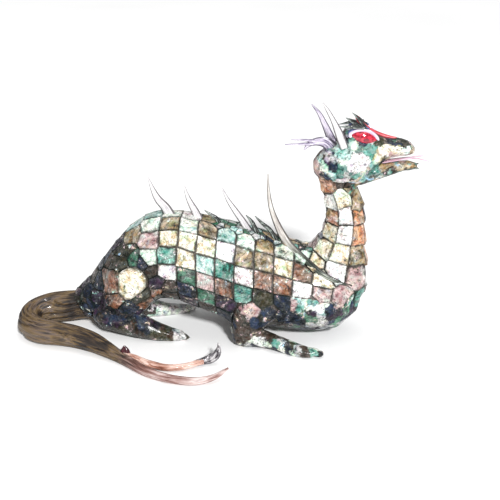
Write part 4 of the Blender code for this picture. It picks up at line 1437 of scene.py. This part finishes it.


# Bands by height from the floor up. On the trunk, shoulder and chest the low bands are dark and the high ones
# pale: partly the shell's own colours, partly painted shade on the lower flanks that face down and away from
# the lamps and painted light on the upper ones that face them.
PALETTES: dict[Region, tuple[tuple[float, tuple[Tone, ...]], ...]] = {
    Region.TRUNK: (
        (0.0, (Tone.NIGHT, Tone.PLUM, Tone.EMERALD, Tone.UMBER, Tone.ROSE)),
        (52.0, (Tone.ROSE, Tone.EMERALD, Tone.SILVER, Tone.OLIVE, Tone.UMBER)),
        (64.0, (Tone.ROSE, Tone.TEAL, Tone.RUST, Tone.ICE, Tone.CREAM, Tone.EMERALD)),
        (78.0, (Tone.ICE, Tone.AQUA, Tone.TEAL, Tone.PEARL, Tone.CREAM, Tone.ICE)),
        (95.0, (Tone.ICE, Tone.CREAM, Tone.AQUA, Tone.PEARL, Tone.GOLD, Tone.ICE)),
    ),
    Region.NECK: ((0.0, (Tone.CREAM, Tone.AMBER, Tone.CREAM, Tone.PEARL, Tone.GOLD, Tone.AMBER)),),
    Region.NAPE: ((0.0, (Tone.ROSE, Tone.UMBER, Tone.ROSE, Tone.LILAC)),),
    Region.HEAD: (
        (0.0, (Tone.SILVER, Tone.LILAC, Tone.NIGHT, Tone.TEAL, Tone.AQUA, Tone.ICE, Tone.PLUM, Tone.UMBER)),
        (205.0, (Tone.LILAC, Tone.PLUM, Tone.NIGHT, Tone.SILVER, Tone.TEAL)),
    ),
    Region.SNOUT: (
        (0.0, (Tone.CREAM, Tone.PEARL, Tone.GOLD, Tone.ROSE)),
        (200.0, (Tone.OLIVE, Tone.UMBER, Tone.OLIVE, Tone.EMERALD, Tone.NIGHT)),
    ),
    Region.JAW: ((0.0, (Tone.GOLD, Tone.OLIVE, Tone.TEAL, Tone.ROSE, Tone.GOLD, Tone.TEAL, Tone.UMBER)),),
    Region.HAUNCH: (
        (0.0, (Tone.NIGHT, Tone.UMBER, Tone.PLUM, Tone.NIGHT)),
        (40.0, (Tone.NIGHT, Tone.OLIVE, Tone.RUST, Tone.UMBER)),
        (78.0, (Tone.OLIVE, Tone.EMERALD, Tone.NIGHT, Tone.UMBER)),
        (98.0, (Tone.UMBER, Tone.SILVER, Tone.PLUM)),
    ),
    Region.FOOT: (
        (0.0, (Tone.OLIVE, Tone.UMBER, Tone.OLIVE, Tone.OLIVE)),
        (15.0, (Tone.NIGHT, Tone.PLUM, Tone.NIGHT, Tone.UMBER)),
    ),
    Region.SHOULDER: (
        (0.0, (Tone.UMBER, Tone.OLIVE, Tone.NIGHT, Tone.UMBER)),
        (34.0, (Tone.CREAM, Tone.ROSE, Tone.UMBER, Tone.GOLD)),
    ),
    Region.FOREARM: ((0.0, (Tone.SILVER, Tone.TEAL, Tone.NIGHT, Tone.OLIVE, Tone.ICE, Tone.UMBER)),),
    Region.RUMP: ((0.0, (Tone.NIGHT, Tone.EMERALD, Tone.PLUM, Tone.NIGHT, Tone.UMBER, Tone.NIGHT)),),
    Region.CHEST: (
        (0.0, (Tone.SILVER, Tone.NIGHT, Tone.EMERALD, Tone.NIGHT, Tone.PLUM)),
        (42.0, (Tone.AQUA, Tone.ICE, Tone.TEAL, Tone.PEARL, Tone.ROSE)),
    ),
    Region.RIDGE: ((0.0, (Tone.TEAL, Tone.AQUA, Tone.NIGHT, Tone.GOLD, Tone.EMERALD, Tone.SILVER)),),
}

LEFT_FOOT = (Tone.SILVER, Tone.PEARL, Tone.ICE)

ACCENTS = (
    Flat(-82, 68, 15.0, Tone.CREAM), Flat(-105, 64, 12.0, Tone.RUST), Flat(-92, 85, 8.0, Tone.OLIVE),
    Flat(-122, 68, 8.0, Tone.NIGHT), Flat(-134, 43, 8.0, Tone.NIGHT), Flat(-64, 104, 9.0, Tone.ROSE),
    Flat(-54, 100, 9.3, Tone.TEAL), Flat(-48, 119, 9.3, Tone.GOLD), Flat(-32, 109, 9.3, Tone.CREAM),
    Flat(-16, 105, 9.3, Tone.CREAM), Flat(4, 101, 9.3, Tone.PEARL), Flat(28, 99, 9.3, Tone.GOLD),
    Flat(47, 95, 9.3, Tone.GOLD), Flat(-15, 88, 9.3, Tone.AQUA), Flat(5, 85, 9.3, Tone.TEAL),
    Flat(24, 84, 9.3, Tone.PEARL), Flat(43, 82, 9.3, Tone.CREAM), Flat(39, 70, 9.3, Tone.RUST),
    Flat(0, 71, 9.3, Tone.ROSE), Flat(20, 69, 9.3, Tone.TEAL), Flat(-20, 70, 9.3, Tone.EMERALD),
    Flat(82, 68, 8.0, Tone.PEARL), Flat(92, 59, 8.0, Tone.AQUA), Flat(106, 71, 7.0, Tone.CREAM),
    Flat(126, 49, 8.0, Tone.EMERALD), Flat(112, 41, 7.0, Tone.NIGHT), Flat(25, 34, 9.0, Tone.UMBER),
    Flat(54, 43, 8.5, Tone.NIGHT), Flat(119, 195, 9.5, Tone.AQUA), Flat(133, 187, 10.0, Tone.PEARL),
    Flat(143, 197.5, 6.5, Tone.TEAL), Flat(118, 180, 4.5, Tone.TEAL), Flat(102, 170, 5.5, Tone.NIGHT),
    Flat(136, 178, 5.5, Tone.TEAL), Flat(157, 199, 5.0, Tone.CREAM), Flat(167, 199, 4.5, Tone.CREAM),
    Flat(118, 154, 9, Tone.CREAM), Flat(112, 164, 9, Tone.PEARL), Flat(134, 150, 9, Tone.GOLD),
    Flat(103, 157, 9, Tone.AMBER), Flat(110, 136, 9, Tone.AMBER), Flat(122, 139, 9, Tone.PEARL),
    Flat(139, 136, 9, Tone.PLUM), Flat(123, 119, 9, Tone.PEARL), Flat(107, 119, 9, Tone.CREAM),
    Flat(138, 113, 9, Tone.AMBER), Flat(102, 99, 9, Tone.CREAM), Flat(114, 103, 9, Tone.CREAM),
    Flat(131, 100, 9, Tone.AMBER), Flat(100, 86, 9, Tone.CREAM), Flat(113, 88, 9, Tone.PEARL),
    Flat(129, 82, 9, Tone.ROSE), Flat(141, 84, 9, Tone.GOLD), Flat(142, 60, 9, Tone.ROSE),
    Flat(78, 33, 8.0, Tone.NIGHT), Flat(66, 30, 8.0, Tone.NIGHT), Flat(24, 10, 7.0, Tone.UMBER),
    Flat(93, 190, 8, Tone.LILAC), Flat(92, 179, 8, Tone.ROSE), Flat(170, 203.5, 2.6, Tone.NIGHT),
    Flat(-38, 8, 7, Tone.SILVER), Flat(-55, 66, 9, Tone.PLUM), Flat(-38, 60, 9, Tone.NIGHT),
    Flat(-70, 88, 8, Tone.NIGHT), Flat(161, 182, 6.0, Tone.GOLD), Flat(172, 181, 5.0, Tone.GOLD),
    Flat(148, 178, 6.0, Tone.TEAL), Flat(152, 207, 5.0, Tone.OLIVE),
)

BARE = (Region.FOOT, Region.FOREARM, Region.SHOULDER, Region.CHEST, Region.HEAD, Region.SNOUT, Region.JAW)


class Cladding:
    """All the shell flats on the figure, and the grout they are bedded in."""

    torso = (
        (-143.3, 18.4), (-121.7, 30.5), (-100.4, 52.7), (-82.6, 65.3), (-62.5, 77.9), (-39.4, 78.8),
        (-10.1, 71.1), (20.3, 62.3), (51.3, 55.1), (81.4, 48.0), (109.3, 41.8), (126.6, 38.6), (139.7, 38.6),
    )
    neck = (
        (100.0, 36.0), (107.1, 49.1), (113.3, 71.6), (117.6, 89.3), (121.8, 106.7), (123.4, 126.3),
        (120.2, 145.9), (113.5, 162.5), (107.0, 174.0),
    )
    sizes = {
        Region.RUMP: 17.0, Region.RIDGE: 9.0, Region.HAUNCH: 15.0, Region.FOOT: 8.0, Region.SHOULDER: 12.0,
        Region.FOREARM: 8.0, Region.CHEST: 11.0, Region.HEAD: 7.5, Region.SNOUT: 5.5, Region.JAW: 6.0,
        Region.NAPE: 12.0,
    }

    def __init__(self, skin: Skin) -> None:
        """Clad this skin."""
        self.skin = skin

    def chosen(self) -> tuple[Seeds, list[Tone]]:
        """The listed places, on the right side and mirrored on the left, and their tones."""
        places, reaches, tones = [], [], []
        for side in (-1, 1):
            for flat in ACCENTS:
                start = FRAME.place((flat.x, side * 200.0, flat.z))
                hit = self.skin.hit(start, np.array([0.0, -side, 0.0]))
                if hit is not None:
                    places.append(hit)
                    reaches.append(flat.reach * MM)
                    tones.append(flat.tone)
        place = np.array(places)
        return Seeds(place, np.array(reaches), np.zeros_like(place)), tones

    def tone_at(self, place: np.ndarray) -> Tone:
        """A tone drawn at random from the palette of the region and height of a place."""
        drawn = FRAME.drawn(place)
        region = Region(int(region_of(drawn[None])[0]))
        if region is Region.FOOT and drawn[1] > 0:
            return LEFT_FOOT[rng.integers(len(LEFT_FOOT))]
        bands = [tones for height, tones in PALETTES[region] if drawn[2] >= height]
        tones = (bands or [PALETTES[region][0][1]])[-1]
        return tones[rng.integers(len(tones))]

    def build(self) -> None:
        """Cut and lay every flat, then the grout under them."""
        accents, accent_tones = self.chosen()
        trunk = Courses((Region.TRUNK,), self.torso, pitch=18.7, rows=16, lap=0.05, first=-84.7, upright=True)
        neck = Courses((Region.NECK,), self.neck, pitch=18.2, rows=8, lap=0.17, first=9.1, upright=False)
        courses = Seeds.joined([trunk.seeds(self.skin), neck.seeds(self.skin)])
        in_course = np.isin(region_of(FRAME.drawn(accents.place)), [Region.TRUNK.value, Region.NECK.value])
        loose = accents.only(~in_course)
        loads = [Scatter(region, size).seeds(self.skin) for region, size in self.sizes.items()]
        seeds = Seeds.joined([courses, loose, *(load.without(loose, 0.8) for load in loads)])
        tones = [self.tone_at(place) for place in seeds.place]
        for place, tone in zip(accents.place, accent_tones):
            tones[int(np.linalg.norm(seeds.place - place, axis=1).argmin())] = tone
        mosaic = Cutter().cut(seeds, self.skin, BARE)
        flats = mosaic.piece("shell_flats", tones, material_of(CutShell()))
        stand_for(flats, "shell", "shell_body")
        stand_for(self.skin.core(seeds, tones, BARE), "shell")
        log.info("cladding: %d flats, %d faces", len(seeds.place), len(mosaic.faces))


class Ornaments:
    """What is set into the body: spines, shards, quill, horns, crest, strip, tongue and the two barbs."""

    spines = (
        ((-50, 0, 122, 12), (-54, 0, 130, 10), (-61, 0, 138.5, 8), (-65.5, 0, 148, 5), (-70, 0, 161, 1)),
        ((-20, 0, 117, 9), (-24.5, 0, 127, 8), (-29, 0, 136, 6), (-32, 0, 143.6, 4), (-34.6, 0, 154, 1)),
        ((28, 0, 109, 8), (22, 0, 119, 7), (15, 0, 129.4, 6), (8.4, 0, 139.7, 4), (2.7, 0, 152, 1)),
    )
    shards = (
        ((0.7, -4, 115, 5), (-3.2, -4, 121.9, 4.5), (-9.1, -4, 125.9, 3), (-14.9, -4, 130, 0.8)),
        ((38, -4, 107, 5), (32.3, -4, 118.9, 4), (26.4, -4, 126.1, 0.8)),
        ((56.2, -5, 101, 5), (50.2, -5, 111.5, 4.5), (42.2, -5, 118.6, 3.4), (35.3, -5, 125.8, 0.8)),
    )
    horn_right = (
        (117.0, -11.7, 204.5, 8.4), (115.9, -12.6, 207.5, 8.4), (112.5, -13, 216, 7.5), (108, -14, 225.6, 5),
        (102.7, -15, 235.2, 3.5), (97.9, -16, 242.7, 1),
    )
    horn_left = (
        (109.5, 9, 195, 10), (104.9, 9.5, 205.2, 8), (99.9, 10.5, 215.6, 6), (94.3, 11.5, 225.8, 4),
        (87, 12.5, 234.1, 1),
    )
    crest = (
        (108, -2, 196, 13), (101.7, -3, 201.5, 11), (93.4, -4, 202.6, 8), (86, -5, 200, 5),
        (81.5, -6, 194.6, 1),
    )
    whiskers = (
        ((92, -4.5, 203, 4), (82, -5.5, 204.2, 2.4), (69.1, -6, 204.6, 1)),
        ((90, -5, 200.5, 4), (78, -6, 200.4, 2.4), (63.6, -7, 199.8, 1)),
    )
    quill_free = (
        (47.4, 0, 167.7, 1), (48, -1, 151.5, 3), (50.9, -2, 133.5, 5), (57.7, -3, 115.5, 7),
        (66.8, -6, 100, 9),
    )
    quill_seated = ((78.5, 91.5, 8), (91.6, 83, 7.5), (105.5, 74.5, 6.5), (119.3, 69, 5), (132, 64, 2))
    quill_stand = 1.8  # how far the seated part's middle stands out of the cladding
    brow = (
        ((137, -5.6, 218.5, 3.6), (131.1, -6, 225.8, 2.7), (125.2, -7, 231.9, 0.48)),
        ((136, -8.4, 218, 3.6), (127, -9.2, 222.6, 3), (119.4, -10.4, 227.6, 0.48)),
        ((133.5, -11, 219, 3), (124.3, -12.8, 220, 3.6), (113.2, -15, 220.8, 0.48)),
    )
    brow_slump = 0.32  # how far the left brow's shards fall towards the back, as a slope
    strip = (
        (129.6, 0, 226, 1.2), (131.5, 0, 222.6, 3.6), (135.2, 0, 219.6, 3.8), (140, 0, 216, 3.4),
        (146, 0, 212.6, 3),
        (153.5, 0, 209.6, 2.4), (161, 0, 207.4, 1.6), (167, 0, 206.2, 0.8),
    )
    tongue = (
        (146, 0, 181, 4), (156.2, 0, 183.5, 4.5), (167.3, 0, 185.6, 4), (177.4, 0, 187.3, 3),
        (184, 0, 188, 2.4),
    )
    forks = (
        ((178, -0.6, 187.4, 1.5), (181, -0.8, 187.8, 1.5), (189, -2.6, 188, 1), (199, -4.6, 186.4, 0.5)),
        ((178, 0.6, 187.4, 1.5), (181, 0.8, 187.8, 1.5), (187, 2.6, 188.6, 1), (194, 4.4, 188.8, 0.5)),
    )
    chin = ((174, 0, 177.6, 5), (180, 0, 178.2, 6), (185, 0, 178.6, 4.5), (190, 0, 177.2, 1))
    spur = ((181, 0, 179, 4), (186, 0, 181.2, 2.6), (189.5, 0, 182.8, 0.8))
    barb = (
        (-14, -84.5, 4.6, 7), (-7, -81, 5.2, 8.5), (-0.5, -78.5, 6.8, 10), (4.6, -76.6, 11, 8.5),
        (6.6, -75.6, 17, 4.5),
        (6, -76, 22.6, 1),
    )
    thorn = ((-84, -81, 2.5, 11), (-84, -80.2, 8, 11.6), (-84, -79.4, 12.6, 8.4), (-84.4, -78.8, 16.6, 2))

    def __init__(self, skin: Skin) -> None:
        """Set them into this skin."""
        self.skin = skin

    def flat_strap(self, name: str, stations: tuple, thickness: float, finish: Streaked) -> bpy.types.Object:
        """A strap that lies level, rounded along its edges.

        Args:
            name: the piece's name.
            stations: drawn x, y, z and half its width.
            thickness: its thickness.
            finish: what it is made of.

        Returns:
            The piece.
        """
        rows = smooth_path(stations, 48)
        sized = np.column_stack([rows[:, :3], np.maximum(rows[:, 3], 0.2), np.full(48, thickness / 2)])
        return swept(name, sized, round_profile(20), (0.0, 1.0, 0.0), material_of(finish))

    def back(self) -> None:
        """The pale spines and dark shards along the ridge, and the quill behind the shoulder."""
        for k, stations in enumerate(self.spines, 1):
            piece = Blade(f"back_spine_horn_{k}", stations, 3.6, PALE_HORN).build()
            stand_for(piece, "horn", f"back_spine_{k}")
        for k, stations in enumerate(self.shards, 1):
            piece = Blade(f"back_shard_shell_{k}", stations, 3.0, DARK_SHELL).build()
            stand_for(piece, "dark_shell", f"back_shard_{k}")
        lying = []
        for x, z, width in self.quill_seated:
            hit = self.skin.hit(FRAME.place((x, -200.0, z)), np.array([0.0, 1.0, 0.0]))
            lying.append((x, FRAME.drawn(hit)[1] - self.quill_stand, z, width))
        quill = Blade("collar_quill_horn", (*self.quill_free, *lying), 4.4, QUILL_HORN, seat=0.0)
        stand_for(quill.build(steps=120), "horn", "collar_quill")

    def head(self) -> None:
        """Horns, crest with its whiskers, brow shards, forehead strip, tongue and the barb under the chin."""
        horns = (("right", self.horn_right, PALE_HORN), ("left", self.horn_left, LILAC_HORN))
        for side, stations, finish in horns:
            piece = Blade(f"horn_blade_{side}", stations, 5.0, finish, seat=6.0).build()
            stand_for(piece, "horn", f"horn_{side}")
        stand_for(Blade("crest_horn", self.crest, 3.6, LILAC_HORN).build(), "horn", "nape_crest")
        for k, stations in enumerate(self.whiskers, 1):
            stand_for(Blade(f"crest_whisker_{k}", stations, 1.8, LILAC_HORN, seat=0.0).build(), "horn")
        for side, way, slump in (("right", 1, 0.0), ("left", -1, self.brow_slump)):
            for k, stations in enumerate(self.brow, 1):
                root = stations[0][0]
                turned = tuple((x, way * y, z - slump * (root - x), width) for x, y, z, width in stations)
                piece = Blade(f"brow_shell_{side}_{k}", turned, 2.8, DARK_SHELL, seat=3.5).build()
                stand_for(piece, "dark_shell", f"brow_shard_{side}_{k}")
        stand_for(self.flat_strap("forehead_coral", self.strip, 3.4, RED_CORAL), "coral", "forehead_strip")
        stand_for(self.flat_strap("tongue_blade", self.tongue, 1.8, PINK_HORN), "tongue", "tongue")
        for k, stations in enumerate(self.forks, 1):
            stand_for(self.flat_strap(f"tongue_fork_{k}", stations, 0.9, PINK_HORN), "tongue")
        stand_for(Blade("chin_shell", self.chin, 6.0, DARK_SHELL).build(), "dark_shell", "chin_barb")
        stand_for(Blade("chin_spur", self.spur, 3.0, DARK_SHELL).build(), "dark_shell")

    def tail(self) -> None:
        """The dark red thorn at the fork of the tail, and the silver barb on its upper prong."""
        stand_for(Blade("thorn_horn", self.thorn, 5.6, MAROON_HORN, seat=0.0).build(), "thorn", "tail_thorn")
        barb = Blade("barb_silver", self.barb, 6.0, WORN_SILVER, seat=0.0).build()
        stand_for(barb, "barb", "tail_barb")

    def build(self) -> None:
        """All of them."""
        self.back()
        self.head()
        self.tail()


def main() -> None:
    """Build the figure in order, then its studio."""
    skin = Skin()
    log.info("skin: %d places", len(skin.points))
    Ornaments(skin).build()
    for side in (-1, 1):
        Almond(side).build(skin)
    Tail().build()
    Cladding(skin).build()
    studio = Studio(azimuth=5.0, elevation=24.0, distance=900.0, lens=64.8)
    studio.camera()
    studio.light()
    studio.floor()


if __name__ == "__main__":
    logging.basicConfig(level=logging.INFO)
    main()
